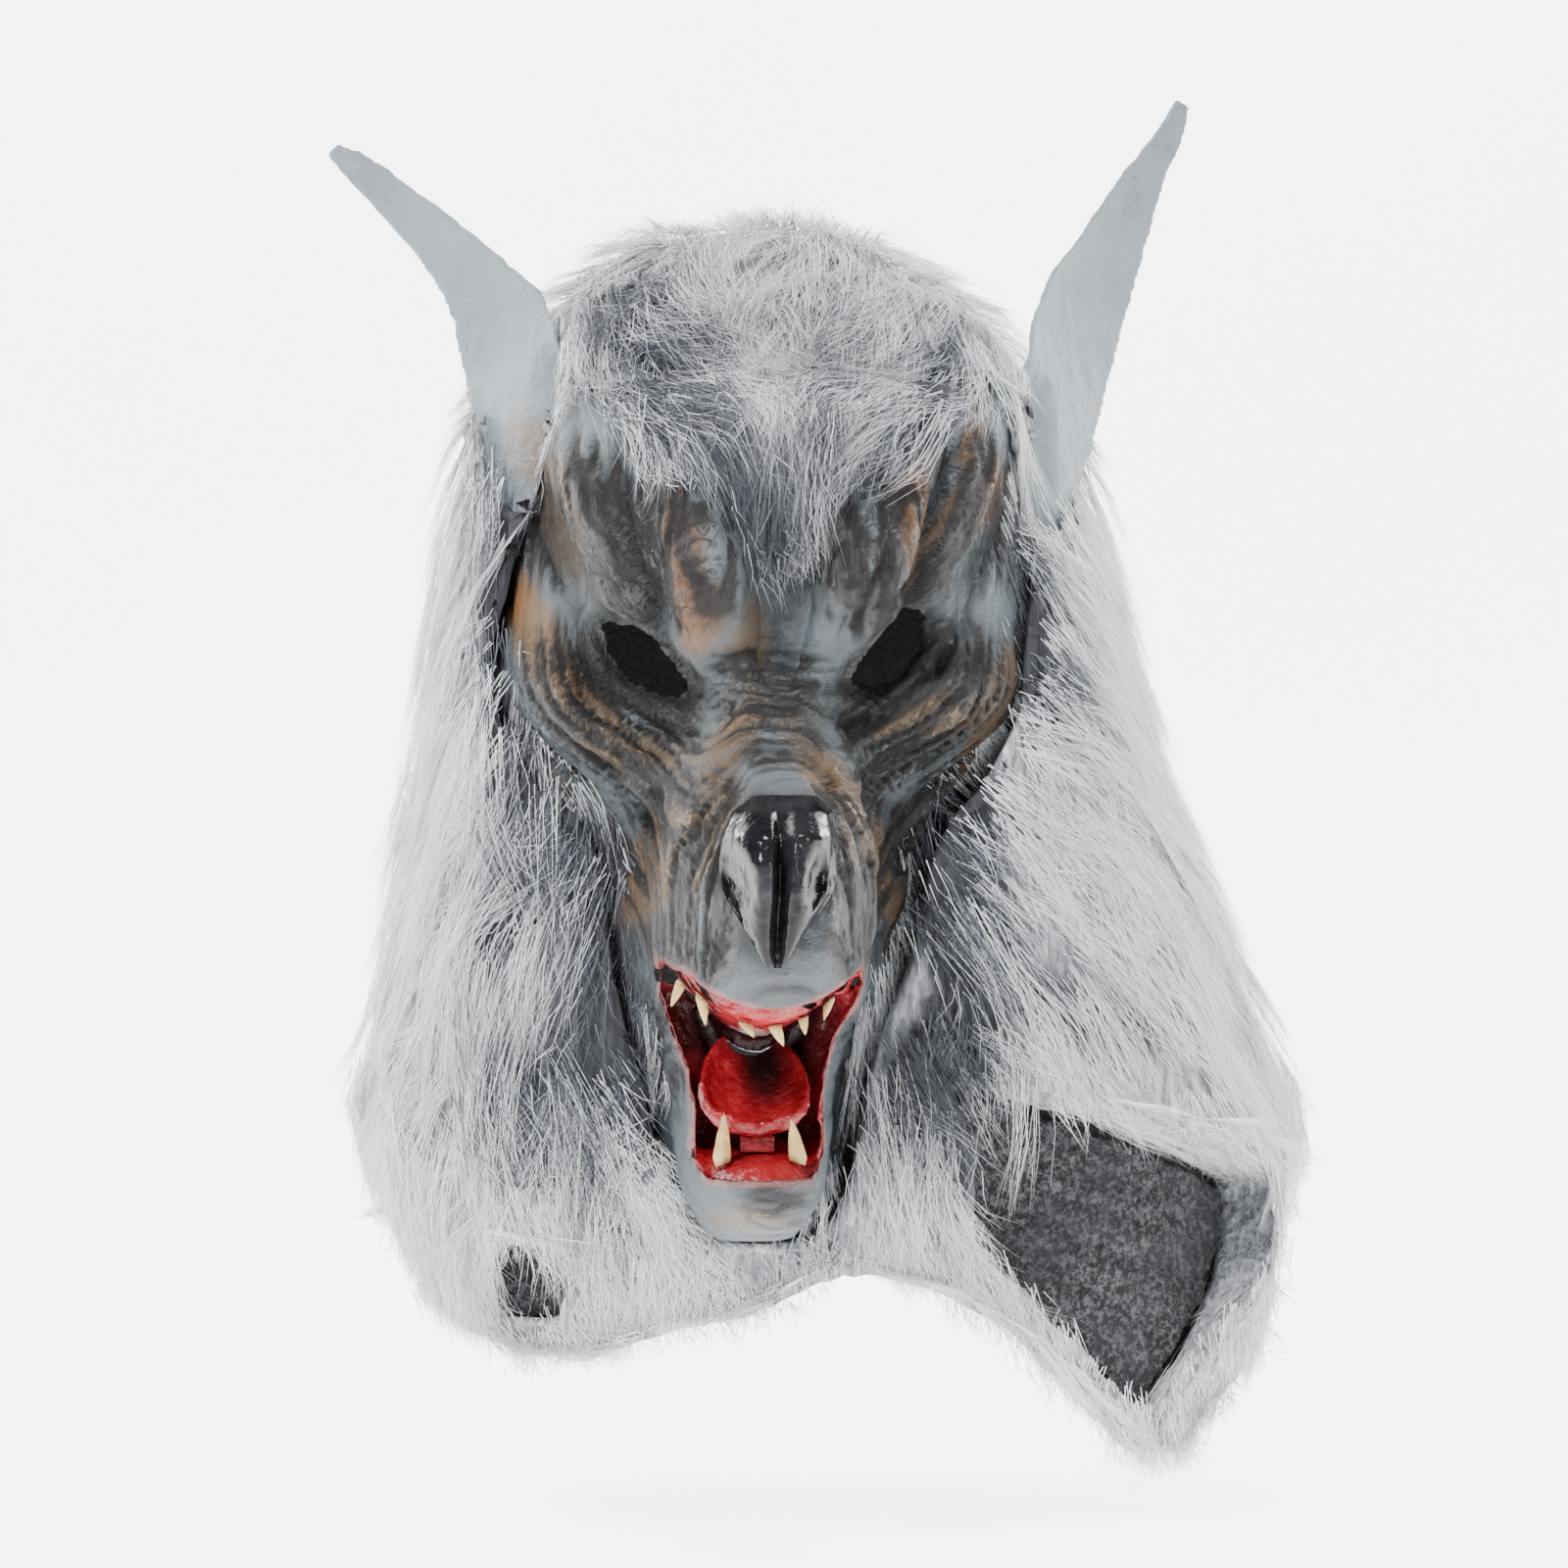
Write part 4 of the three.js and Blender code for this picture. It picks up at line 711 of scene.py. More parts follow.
# A hollow of this depth in millimetres gets the full painted shade
HOLLOW_SHADE_DEEP = 3.6
FORMS = [
    {"at": "brow bulge", "x": -18, "z": -82, "along": 30, "across": 10, "angle": 100, "rise": 8.0},
    {"at": "brow bulge", "x": 33, "z": -80, "along": 31, "across": 10, "angle": 63, "rise": 8.0},
    {"at": "between the brows", "x": 6, "z": -84, "along": 30, "across": 7, "angle": 88, "rise": -5.0},
    {"at": "outer brow", "x": -46, "z": -70, "along": 32, "across": 7, "angle": 111, "rise": 6.0},
    {"at": "outer brow", "x": 58, "z": -62, "along": 30, "across": 6, "angle": 66, "rise": 5.0},
    {"at": "brow furrow", "x": -32, "z": -78, "along": 32, "across": 3.5, "angle": 104, "rise": -6.0},
    {"at": "brow furrow", "x": 47, "z": -70, "along": 30, "across": 3.5, "angle": 66, "rise": -6.0},
    {"at": "temple furrow", "x": -59, "z": -72, "along": 26, "across": 4, "angle": 112, "rise": -5.0},
    {"at": "temple furrow", "x": 68, "z": -68, "along": 24, "across": 4, "angle": 68, "rise": -4.0},
    {"at": "pouch", "x": -46, "z": -124, "along": 28, "across": 10, "angle": 152, "rise": 4.5},
    {"at": "pouch", "x": 50, "z": -122, "along": 28, "across": 10, "angle": 28, "rise": 4.5},
    {"at": "side of the snout", "x": -25, "z": -158, "along": 22, "across": 8, "angle": 62, "rise": 2.5},
    {"at": "side of the snout", "x": 26, "z": -156, "along": 22, "across": 8, "angle": 118, "rise": 2.5},
    {"at": "furrow by the nose", "x": -17, "z": -150, "along": 22, "across": 4, "angle": 66, "rise": -2.5},
    {"at": "furrow by the nose", "x": 18, "z": -149, "along": 22, "across": 4, "angle": 114, "rise": -2.5},
    {"at": "corner of the eye", "x": -21, "z": -112, "along": 9, "across": 5, "angle": 140, "rise": -3.0},
    {"at": "corner of the eye", "x": 25, "z": -110, "along": 9, "across": 5, "angle": 40, "rise": -3.0},
]
print("large forms:", len(FORMS))

# %% [markdown]
# Paint and forms now go on the skin of the face. The ground is darker on the face than on the
# ears, most of all on the snout and the jaws. After the points are moved, their distances from
# the mouth and from the nose are painted too, for the red of the lips and the dark round the
# nose.

# %% Shape and paint the face
FACE_DARKER = 0.95
LIP_REACH = 5.0 * MM
NOSE_REACH = 7.0 * MM


def around(points, row):
    """Distance from the middle of an oval, 1 on its line."""
    turn = math.radians(row["angle"])
    x, z = points[:, 0] - row["x"], points[:, 2] - row["z"]
    along = (x * math.cos(turn) + z * math.sin(turn)) / row["along"]
    across = (z * math.cos(turn) - x * math.sin(turn)) / row["across"]
    return np.hypot(along, across)


def band(values, middle, width):
    """1 at the middle value, falling softly on both sides."""
    return np.exp(-(((values - middle) / width) ** 2))


def paint_streaks(mesh, points):
    """Paints the washes, one number for each colour."""
    for name in ("tan", "rust", "dark"):
        total = np.zeros(len(points))
        for row in PAINT:
            if row["name"] == name:
                total = np.maximum(total, row["share"] * streak(points, row))
        if name == "dark":
            for eye in EYES:
                ring = band(around(points, eye), EYE_PAINT_AND_SHADE["at"], EYE_PAINT_AND_SHADE["wide"])
                total = np.maximum(total, EYE_PAINT_AND_SHADE["share"] * ring)
        paint(mesh, name, total)


def form_relief(points):
    """How far the large forms raise the skin, in millimetres."""
    return sum(row["rise"] * streak(points, row) for row in FORMS)


def lid_relief(points):
    """How far the lids and the grooves around them raise the skin, in millimetres."""
    rise = np.zeros(len(points))
    for eye in EYES:
        far = around(points, eye)
        rise += sum(ring["rise"] * band(far, ring["at"], ring["wide"]) for ring in (LID, LID_GROOVE))
    return rise


face_front = smooth_step(-face_normals[:, 1], 0.0, 0.4)
face_forms = form_relief(face_points)
face_rise += (lid_relief(face_points) + face_forms) * face_front
# Painted shade in the hollows of the large forms
paint(face_mesh, "hollow_shade", np.clip(-face_forms / HOLLOW_SHADE_DEEP, 0, 1))
paint(face_mesh, "fold", fold_strength(face_points))
paint(face_mesh, "face", FACE_DARKER * (0.6 + 0.4 * smooth_step(-face_points[:, 2], 70, 190)))
paint_streaks(face_mesh, face_points)
move_points(face_mesh, (face_points + face_normals * face_rise[:, None]) * MM)
paint(face_mesh, "lip", nearness(face_points * MM, ["mouth_lining"], LIP_REACH))
paint(face_mesh, "by_nose", nearness(face_points * MM, ["nose"], NOSE_REACH))
print("the large forms move the skin by", face_forms.min(), "to", face_forms.max(), "mm")

# %% [markdown]
# Latex dries to a soft, rubbery shine. The ground colour drifts a little from place to place,
# and the washes break up along the ridges as a brush leaves them. Shade is painted on the low
# sides of the folds, in the hollows and along fine grooves, and dark paint and painted shade lie
# in the creases, which are darkest and dullest. The lips go from red at the mouth through pink to grey.

# %% Latex finish
def latex_finish():
    latex = Finish("painted_latex")
    cloud = latex.noise(28.0, 5.0)
    grain = latex.noise(420.0, 6.0, 0.7)
    broken = latex.noise(240.0, 5.0, 0.7)
    flow = latex.maths("MULTIPLY", latex.painted("flow"), 3.2)
    wander = latex.maths("MULTIPLY", latex.noise(50.0, 2.0), 2.5)
    lines = latex.noise(1.0, 4.0, 0.6, place=latex.add("ShaderNodeCombineXYZ", X=flow, Y=wander).outputs[0])
    fold = latex.between(latex.painted("fold"), 0.2, 0.8)
    ground = latex.mix(cloud, (0.115, 0.145, 0.168), (0.185, 0.222, 0.25))
    ground = latex.mix(latex.maths("MULTIPLY", grain, 0.3), ground, (0.26, 0.30, 0.325))
    ground = latex.mix(latex.painted("face"), ground, (0.052, 0.064, 0.074))
    # Painted shade on the low sides of the main folds
    low = latex.between(latex.painted("ridge"), 0.1, 0.7, 1.0, 0.0)
    low = latex.maths("MULTIPLY", low, latex.maths("MULTIPLY", fold, 0.85))
    ground = latex.mix(low, ground, (0.052, 0.044, 0.035))
    brush = latex.between(lines, 0.1, 0.9, 0.45, 1.0)
    wash = latex.between(latex.maths("MULTIPLY", latex.painted("tan"), brush), 0.06, 0.42)
    body = latex.mix(latex.maths("MULTIPLY", wash, 0.9), ground, (0.125, 0.070, 0.026))
    wash = latex.between(latex.maths("MULTIPLY", latex.painted("rust"), brush), 0.08, 0.5)
    body = latex.mix(latex.maths("MULTIPLY", wash, 0.9), body, (0.17, 0.075, 0.022))
    # Dark streaks and eye rings (partly dark paint, partly painted shade), the dark round the nose, and the
    # painted shade of the hollows
    dark = latex.maths("MAXIMUM", latex.painted("dark"), latex.painted("by_nose"))
    dark = latex.maths("MAXIMUM", dark, latex.painted("hollow_shade"))
    dark = latex.maths("MULTIPLY", dark, latex.between(broken, 0.0, 1.0, 0.6, 1.0))
    body = latex.mix(latex.maths("MULTIPLY", dark, 0.8), body, (0.014, 0.014, 0.015))
    # Dark paint and painted shade along the fine grooves of the lines
    thin = latex.maths("MULTIPLY", latex.between(lines, 0.12, 0.46, 0.95, 0.0), fold)
    body = latex.mix(thin, body, (0.018, 0.015, 0.013))
    # Dark paint and painted shade in the creases, which are also dullest
    crease = latex.between(latex.painted("crease"), 0.1, 0.6, 0.0, 0.95)
    body = latex.mix(crease, body, (0.007, 0.006, 0.006))
    lip = latex.painted("lip")
    body = latex.mix(latex.between(lip, 0.05, 0.5, 0.0, 0.85), body, (0.22, 0.085, 0.08))
    body = latex.mix(latex.between(lip, 0.5, 0.9), body, (0.22, 0.008, 0.008))
    rough = latex.between(cloud, 0.0, 1.0, 0.34, 0.5)
    rough = latex.maths("ADD", rough, latex.maths("MULTIPLY", crease, 0.15))
    rough = latex.maths("SUBTRACT", rough, latex.maths("MULTIPLY", lip, 0.2))
    pores = latex.relief(latex.noise(900.0, 3.0), 0.0003, 0.5)
    skin = latex.relief(grain, 0.0008, 0.4, under=pores)
    normal = latex.relief(latex.maths("MULTIPLY", lines, fold), 0.0016, 0.9, under=skin)
    return latex.finish(body, rough, normal)


LATEX = latex_finish()
face_mesh.materials.append(LATEX)
dress(piece_from("latex_face", face_mesh), "latex_grey", "face_shell")

# %% [markdown]
# The ears are cast in one with the face in the real mask: thin upright leaves with rounded
# tips. They are nearly smooth. Their roots are drawn on to the skin of the face, as a short web
# of latex, and shade is painted into the groove there.

# %% Ears
EAR_SQUARE = 1.0 * MM
EAR_ROUNDS = 10
EAR_PITS = 0.35
EAR_REACH = 9.0 * MM
WEB_REACH, WEB_FADE = 15.0, 0.55
FACE_TREE = tree_of(["face_shell"])


def drawn_to(points, tree, reach, fade):
    """The points, with those near a skin drawn on to it. The pull fades in a share of the reach."""
    for i, point in enumerate(points):
        place, _, _, far = tree.find_nearest(Vector(point), reach)
        if place is not None:
            points[i] += (np.array(place) - point) * smooth_step(reach - far, 0, fade * reach)
    return points


def make_ear(side):
    mesh = skin_of([f"ear_{side}"], EAR_SQUARE, EAR_ROUNDS)
    points = points_of(mesh) / MM
    paint_streaks(mesh, points)
    groove = nearness(points * MM, ["face_shell"], EAR_REACH)
    # Painted shade in the groove where the ear meets the face
    paint(mesh, "crease", 0.75 * groove * smooth_step(noise_at(points, 4.0, 61), -0.6, 0.6))
    pits = EAR_PITS * noise_at(points * np.array([1, 1, 0.35]), 3.5, 62)
    points += normals_of(mesh) * pits[:, None]
    points = drawn_to(points, FACE_TREE, WEB_REACH, WEB_FADE)
    move_points(mesh, points * MM)
    mesh.materials.append(LATEX)
    return dress(piece_from(f"latex_ear_{side}", mesh), "latex_grey", f"ear_{side}")


for side in ("left", "right"):
    make_ear(side)

# %% [markdown]
# The nose is two swollen lobes with a groove between them and a comma-shaped nostril on each
# side. Its black paint is glossy, so the small bumps of a wet nose show in the highlights. The
# nostrils and the groove are pressed into the skin by formula, and painted shade darkens them.

# %% Nose
NOSE_SQUARE = 0.7 * MM
NOSE_ROUNDS = 30
NOSTRILS = [
    {"x": -11.8, "z": -169.5, "along": 10.0, "across": 3.2, "angle": 96, "deep": 5.5},
    {"x": 11.1, "z": -168.0, "along": 8.5, "across": 3.6, "angle": 78, "deep": 5.5},
    {"x": -0.6, "z": -172.0, "along": 26.0, "across": 1.5, "angle": 90, "deep": 3.2},
]
LOBES = [
    {"x": -7.8, "z": -158.0, "along": 11.0, "across": 7.5, "angle": 100, "rise": 3.4},
    {"x": 7.6, "z": -157.0, "along": 11.0, "across": 7.5, "angle": 80, "rise": 3.4},
]
NOSE_BUMP = 0.09


def make_nose():
    mesh = skin_of(["nose"], NOSE_SQUARE, NOSE_ROUNDS)
    points = points_of(mesh) / MM
    normals = normals_of(mesh)
    front = smooth_step(-normals[:, 1], -0.1, 0.4)
    press = sum(row["deep"] * streak(points, row) for row in NOSTRILS) * front
    bumps = NOSE_BUMP * noise_at(points, 2.2, 71) + 0.6 * NOSE_BUMP * noise_at(points, 1.1, 72)
    # Painted shade in the pressed nostrils and the groove
    paint(mesh, "dark", np.clip(press / 5.0, 0, 1))
    points[:, 1] += press - sum(row["rise"] * streak(points, row) for row in LOBES) * front
    move_points(mesh, (points + normals * (bumps * front)[:, None]) * MM)
    black = Finish("glossy_black_paint")
    cloud = black.noise(70.0, 4.0)
    body = black.mix(cloud, (0.004, 0.004, 0.005), (0.016, 0.016, 0.019))
    # The painted shade of the nostrils and the groove
    body = black.mix(black.painted("dark"), body, (0.002, 0.002, 0.002))
    rough = black.between(cloud, 0.0, 1.0, 0.06, 0.13)
    normal = black.relief(black.noise(520.0, 4.0), 0.00012, 0.5)
    mesh.materials.append(black.finish(body, rough, normal, Specular_IOR_Level=0.22))
    return dress(piece_from("glossy_nose", mesh), "nose_black", "nose")


make_nose()

# %% [markdown]
# Inside the open jaws everything is one wet-looking red: the lining of the mouth, the tongue
# with its raised rim, and the strap under it. Shade is painted by depth: the further back a
# point lies, the darker its red, down to near black in the throat. The rim of the lining is
# drawn on to the skin of the face, so that no gap is left at the lips.

# %% Mouth, tongue and strap
MOUTH_PIECES = [
    {"node": "mouth_lining", "name": "red_mouth", "square": 1.1, "rounds": 8, "lump": 0.5},
    {"node": "tongue", "name": "red_tongue", "square": 0.75, "rounds": 10, "lump": 0.35},
    {"node": "tongue_strap", "name": "red_strap", "square": 0.6, "rounds": 8, "lump": 0.3},
]
RIM_REACH, RIM_FADE = 7.0, 0.5
# How far behind its front the painted shade of a red piece starts, and where it is darkest
MOUTH_SHADE_FROM, MOUTH_SHADE_TO = 16, 66
THROAT = {"x": -1.0, "z": -221.0, "along": 14.0, "across": 6.5, "angle": 90}
TONGUE_WIDER = 1.16


def red_finish():
    red = Finish("glossy_red_paint")
    cloud = red.noise(60.0, 5.0)
    body = red.mix(cloud, (0.15, 0.003, 0.007), (0.30, 0.008, 0.013))
    speck = red.between(red.noise(300.0, 5.0), 0.5, 1.0, 0.0, 0.35)
    body = red.mix(speck, body, (0.38, 0.035, 0.035))
    # Painted shade in the depth of the mouth, down to near black
    body = red.mix(red.between(red.painted("deep"), 0.05, 0.95), body, (0.016, 0.003, 0.004))
    rough = red.between(cloud, 0.0, 1.0, 0.18, 0.34)
    normal = red.relief(red.noise(330.0, 4.0), 0.0008, 0.5)
    return red.finish(body, rough, normal)


RED = red_finish()


def make_red_piece(row):
    mesh = skin_of([row["node"]], row["square"] * MM, row["rounds"])
    points = points_of(mesh) / MM
    front = points[:, 1].min()
    # Painted shade: darker further back, and near black in the throat of the tongue
    behind = smooth_step(points[:, 1], front + MOUTH_SHADE_FROM, front + MOUTH_SHADE_TO)
    throat = band(around(points, THROAT), 0.0, 0.9) if row["node"] == "tongue" else 0
    paint(mesh, "deep", np.maximum(0.9 * behind, throat))
    lumps = row["lump"] * noise_at(points, 4.0, 81)
    points += normals_of(mesh) * lumps[:, None]
    if row["node"] == "tongue":
        points[:, 0] = THROAT["x"] + TONGUE_WIDER * (points[:, 0] - THROAT["x"])
    if row["node"] == "mouth_lining":
        points = drawn_to(points, tree_from([face_mesh]), RIM_REACH, RIM_FADE)
    move_points(mesh, points * MM)
    mesh.materials.append(RED)
    return dress(piece_from(row["name"], mesh), "mouth_red", row["node"])


for row in MOUTH_PIECES:
    make_red_piece(row)

# %% [markdown]
# The teeth are small cast horns, ivory at the tip and stained brown where they leave the gums.

# %% Teeth and fangs
TOOTH_SQUARE = 0.4 * MM
TOOTH_ROUNDS = 6
GUM_REACH = 3.5 * MM


def ivory_finish():
    ivory = Finish("stained_ivory")
    cloud = ivory.noise(160.0, 4.0)
    body = ivory.mix(cloud, (0.42, 0.25, 0.07), (0.60, 0.42, 0.16))
    stain = ivory.between(ivory.painted("gum"), 0.1, 0.95, 0.0, 0.85)
    body = ivory.mix(stain, body, (0.16, 0.07, 0.03))
    normal = ivory.relief(ivory.noise(700.0, 3.0), 0.0004, 0.4)
    return ivory.finish(body, ivory.between(cloud, 0.0, 1.0, 0.22, 0.36), normal)


IVORY = ivory_finish()
teeth = [node for node in sorted(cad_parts) if "tooth" in node or "fang" in node]
for node in teeth:
    mesh = skin_of([node], TOOTH_SQUARE, TOOTH_ROUNDS)
    paint(mesh, "gum", nearness(points_of(mesh), ["mouth_lining"], GUM_REACH))
    mesh.materials.append(IVORY)
    name = node.replace("_tooth", "_ivory").replace("fang", "fang_ivory")
    dress(piece_from(name, mesh), "tooth", node)

# %% [markdown]
# The fur is sewn to a knitted backing, which shows inside the hood and at two bare patches on
# its hem. It is a melange: dark and light grey fibres spun together, so its colour changes
# from loop to loop. The patches get real loops, as small waves that cross each other.

# %% Knitted backing and hem patches
PATCH_NODES = ["hem_patch_left", "hem_patch_right"]
PATCH_SQUARE = 1.3 * MM
PATCH_ROUNDS = 4
LOOP_WIDE = 2.6
LOOP_RISE = 0.35
FUZZ_RISE = 0.5


def knit_finish():
    knit = Finish("grey_melange_knit")
    fleck = knit.noise(480.0, 6.0, 0.8)
    cloud = knit.noise(45.0, 4.0)
    body = knit.mix(knit.between(fleck, 0.3, 0.85), (0.005, 0.006, 0.008), (0.17, 0.175, 0.19))
    body = knit.mix(knit.between(cloud, 0.1, 1.0, 0.0, 0.5), body, (0.035, 0.037, 0.045))
    # Painted shade inside the hood: the backing is made nearly black
    body = knit.mix(knit.painted("hood_shade"), body, (0.004, 0.004, 0.005))
    normal = knit.relief(fleck, 0.0018, 0.9)
    return knit.finish(body, knit.between(fleck, 0.0, 1.0, 0.85, 0.97), normal)


KNIT = knit_finish()


def make_patch(node):
    mesh = skin_of([node], PATCH_SQUARE, PATCH_ROUNDS)
    points = points_of(mesh) / MM
    girth = np.hypot(points[:, 0], points[:, 1]) * np.arctan2(points[:, 0], -points[:, 1])
    rise = LOOP_RISE * np.sin(girth * 2 * math.pi / LOOP_WIDE)
    rise *= np.sin(points[:, 2] * 2 * math.pi / LOOP_WIDE)
    rise += FUZZ_RISE * noise_at(points, 3.0, 91)
    move_points(mesh, (points + normals_of(mesh) * rise[:, None]) * MM)
    mesh.materials.append(KNIT)
    return dress(piece_from(f"knit_{node}", mesh), "knit", node)


def make_backing():
    mesh = merged_copy("hood_backing")
    mesh.shade_smooth()
    mesh.set_sharp_from_angle(angle=math.radians(40))
    # The whole backing carries the painted shade of the hood's inside
    paint(mesh, "hood_shade", np.full(len(mesh.vertices), 0.85))
    mesh.materials.append(KNIT)
    return dress(piece_from("knit_hood", mesh), "knit", "hood_backing")


for node in PATCH_NODES:
    make_patch(node)
make_backing()

# %% [markdown]
# Long-pile fur is a dense dark undercoat with long white guard hairs over it. Its dark parts
# lie close around the face and it turns pure white outwards. The table holds the dark places
# as seen from the front, and a wide oval adds some grey all round the face. Where a place is
# dark, the body below the hairs is dark and most of the hairs are too.

# %% Where the fur is dark
DARK_PLACES = [
    {"x": -22, "z": -30, "along": 26, "across": 20, "angle": 100, "share": 0.95},
    {"x": -42, "z": -8, "along": 26, "across": 14, "angle": 30, "share": 0.6},
    {"x": 14, "z": -52, "along": 26, "across": 9, "angle": 70, "share": 0.7},
    {"x": -2, "z": -68, "along": 26, "across": 16, "angle": 90, "share": 0.9},
    {"x": 26, "z": -62, "along": 24, "across": 6, "angle": 60, "share": 0.7},
    {"x": -12, "z": -45, "along": 36, "across": 11, "angle": 128, "share": 0.85},
    {"x": 50, "z": -26, "along": 24, "across": 6, "angle": 62, "share": 0.75},
    {"x": -72, "z": -110, "along": 60, "across": 14, "angle": 92, "share": 0.85},
    {"x": -44, "z": -212, "along": 60, "across": 22, "angle": 85, "share": 0.95},
    {"x": -62, "z": -172, "along": 34, "across": 18, "angle": 60, "share": 0.7},
    {"x": -70, "z": -240, "along": 30, "across": 17, "angle": 100, "share": 0.75},
    {"x": 60, "z": -178, "along": 56, "across": 17, "angle": 95, "share": 0.85},
    {"x": 84, "z": -100, "along": 34, "across": 14, "angle": 120, "share": 0.8},
    {"x": 52, "z": -232, "along": 30, "across": 18, "angle": 90, "share": 0.85},
    {"x": 92, "z": -208, "along": 34, "across": 9, "angle": 160, "share": 0.7},
]
# Depths before the hood's middle: no dark lies behind the first, and all of it before the second
DARK_FROM, DARK_FULL = -20.0, 20.0
# A grey undercoat all round the face, which ends well inside the outline
GREY_RING = {"x": 4, "z": -140, "along": 160, "across": 94, "angle": 90, "share": 0.3}
RING_FROM, RING_TO = 0.62, 0.98


def darkness(points):
    """How dark the fur is at points in millimetres: 0 white, 1 dark."""
    dark = np.zeros(len(points))
    for row in DARK_PLACES:
        dark = np.maximum(dark, row["share"] * streak(points, row))
    ring = GREY_RING["share"] * (1 - smooth_step(around(points, GREY_RING), RING_FROM, RING_TO))
    dark = np.maximum(dark, ring)
    dark *= smooth_step(-points[:, 1], DARK_FROM, DARK_FULL)
    return np.clip(dark + 0.25 * noise_at(points, 14.0, 101) * (dark > 0.08), 0, 1)


print("dark places:", len(DARK_PLACES))

# %% [markdown]
# Under the hairs lies the body of the pile, in five sections. Where a section faces out or
# ahead, it is lumpy like locks and drawn in a few millimetres, so that the hairs, not the body,
# make the outline. Where two sections meet, they swell into each other, and no gap shows.

# %% Bodies of the fur
FUR_NODES = ["fur_crown", "fur_left", "fur_right", "fur_back", "fur_forelock"]
BODY_SQUARE = {"fur_back": 5.0, "fur_crown": 4.0}
BODY_SQUARE_REST = 3.2
BODY_INSET = {"fur_forelock": 2.0}
BODY_INSET_REST = 4.0
BODY_ROUNDS = 6
LOCK_LUMP = 1.8
PATCH_REACH = 14.0 * MM
HOOD_AXIS = np.array([8.0, 0.0, -60.0])
SEAM_REACH = 8.0 * MM
SEAM_SWELL = 3.5
SHADE_REST, SHADE_GAIN = 0.18, 1.2


def outward_of(points):
    """Unit ways out from the hood's axis, turning upward over its top."""
    ways = points - HOOD_AXIS
    ways[:, 2] = np.maximum(ways[:, 2], 0)
    return ways / np.maximum(np.linalg.norm(ways, axis=1, keepdims=True), 1e-6)


def fur_finish():
    fur = Finish("long_pile_fur")
    drawn_out = fur.add("ShaderNodeMapping", Vector=fur.place, Scale=(480.0, 480.0, 60.0))
    fibre = fur.noise(1.0, 6.0, 0.7, place=drawn_out.outputs[0])
    # The pale body runs from dark to light grey along the fibres: pale undercoat with painted shade between
    # the hairs
    white = fur.mix(fibre, (0.12, 0.13, 0.155), (0.66, 0.69, 0.73))
    black = fur.mix(fibre, (0.004, 0.005, 0.007), (0.05, 0.055, 0.07))
    body = fur.mix(fur.between(fur.painted("shade"), 0.15, 0.85), white, black)
    normal = fur.relief(fibre, 0.002, 0.8)
    return fur.finish(body, fur.between(fibre, 0.0, 1.0, 0.6, 0.85), normal)


FUR = fur_finish()


def main_island(mesh):
    """Removes the crumbs that a remesh leaves of thin slivers."""
    shape = bmesh.new()
    shape.from_mesh(mesh)
    waiting = set(shape.verts)
    islands = []
    while waiting:
        island = [waiting.pop()]
        for vert in island:
            for edge in vert.link_edges:
                other = edge.other_vert(vert)
                if other in waiting:
                    waiting.remove(other)
                    island.append(other)
        islands.append(island)
    islands.sort(key=len)
    crumbs = [vert for island in islands[:-1] for vert in island]
    bmesh.ops.delete(shape, geom=crumbs, context="VERTS")
    shape.to_mesh(mesh)
    shape.free()


def make_fur_body(node):
    mesh = skin_of([node], BODY_SQUARE.get(node, BODY_SQUARE_REST) * MM, BODY_ROUNDS)
    main_island(mesh)
    points = points_of(mesh) / MM
    inset = BODY_INSET.get(node, BODY_INSET_REST)
    inset = inset * (1 - nearness(points * MM, PATCH_NODES, PATCH_REACH))
    rise = LOCK_LUMP * (noise_at(points * np.array([1, 1, 0.4]), 8.0, 102) - 0.3) - inset
    normals = normals_of(mesh)
    facing = smooth_step((normals * outward_of(points)).sum(1), 0.3, 0.8)
    ahead = smooth_step(-normals[:, 1], 0.3, 0.7) * smooth_step(-points[:, 1], 20, 50)
    facing = np.maximum(facing, ahead)
    others = [other for other in FUR_NODES if other != node]
    seam = (1 - facing) * nearness(points * MM, others, SEAM_REACH)
    rise = rise * facing + SEAM_SWELL * seam
    paint(mesh, "shade", np.clip(SHADE_REST + SHADE_GAIN * darkness(points), 0, 1))
    move_points(mesh, (points + normals * rise[:, None]) * MM)
    mesh.materials.append(FUR)
    return dress(piece_from(f"{node}_body", mesh), "fur", node)


for node in FUR_NODES:
    make_fur_body(node)

# %% [markdown]
# The pile is combed. The table gives the way that the hairs lie at a few places, as a vector,
# and how much they stray from it, in degrees. Between the places the ways are blended.

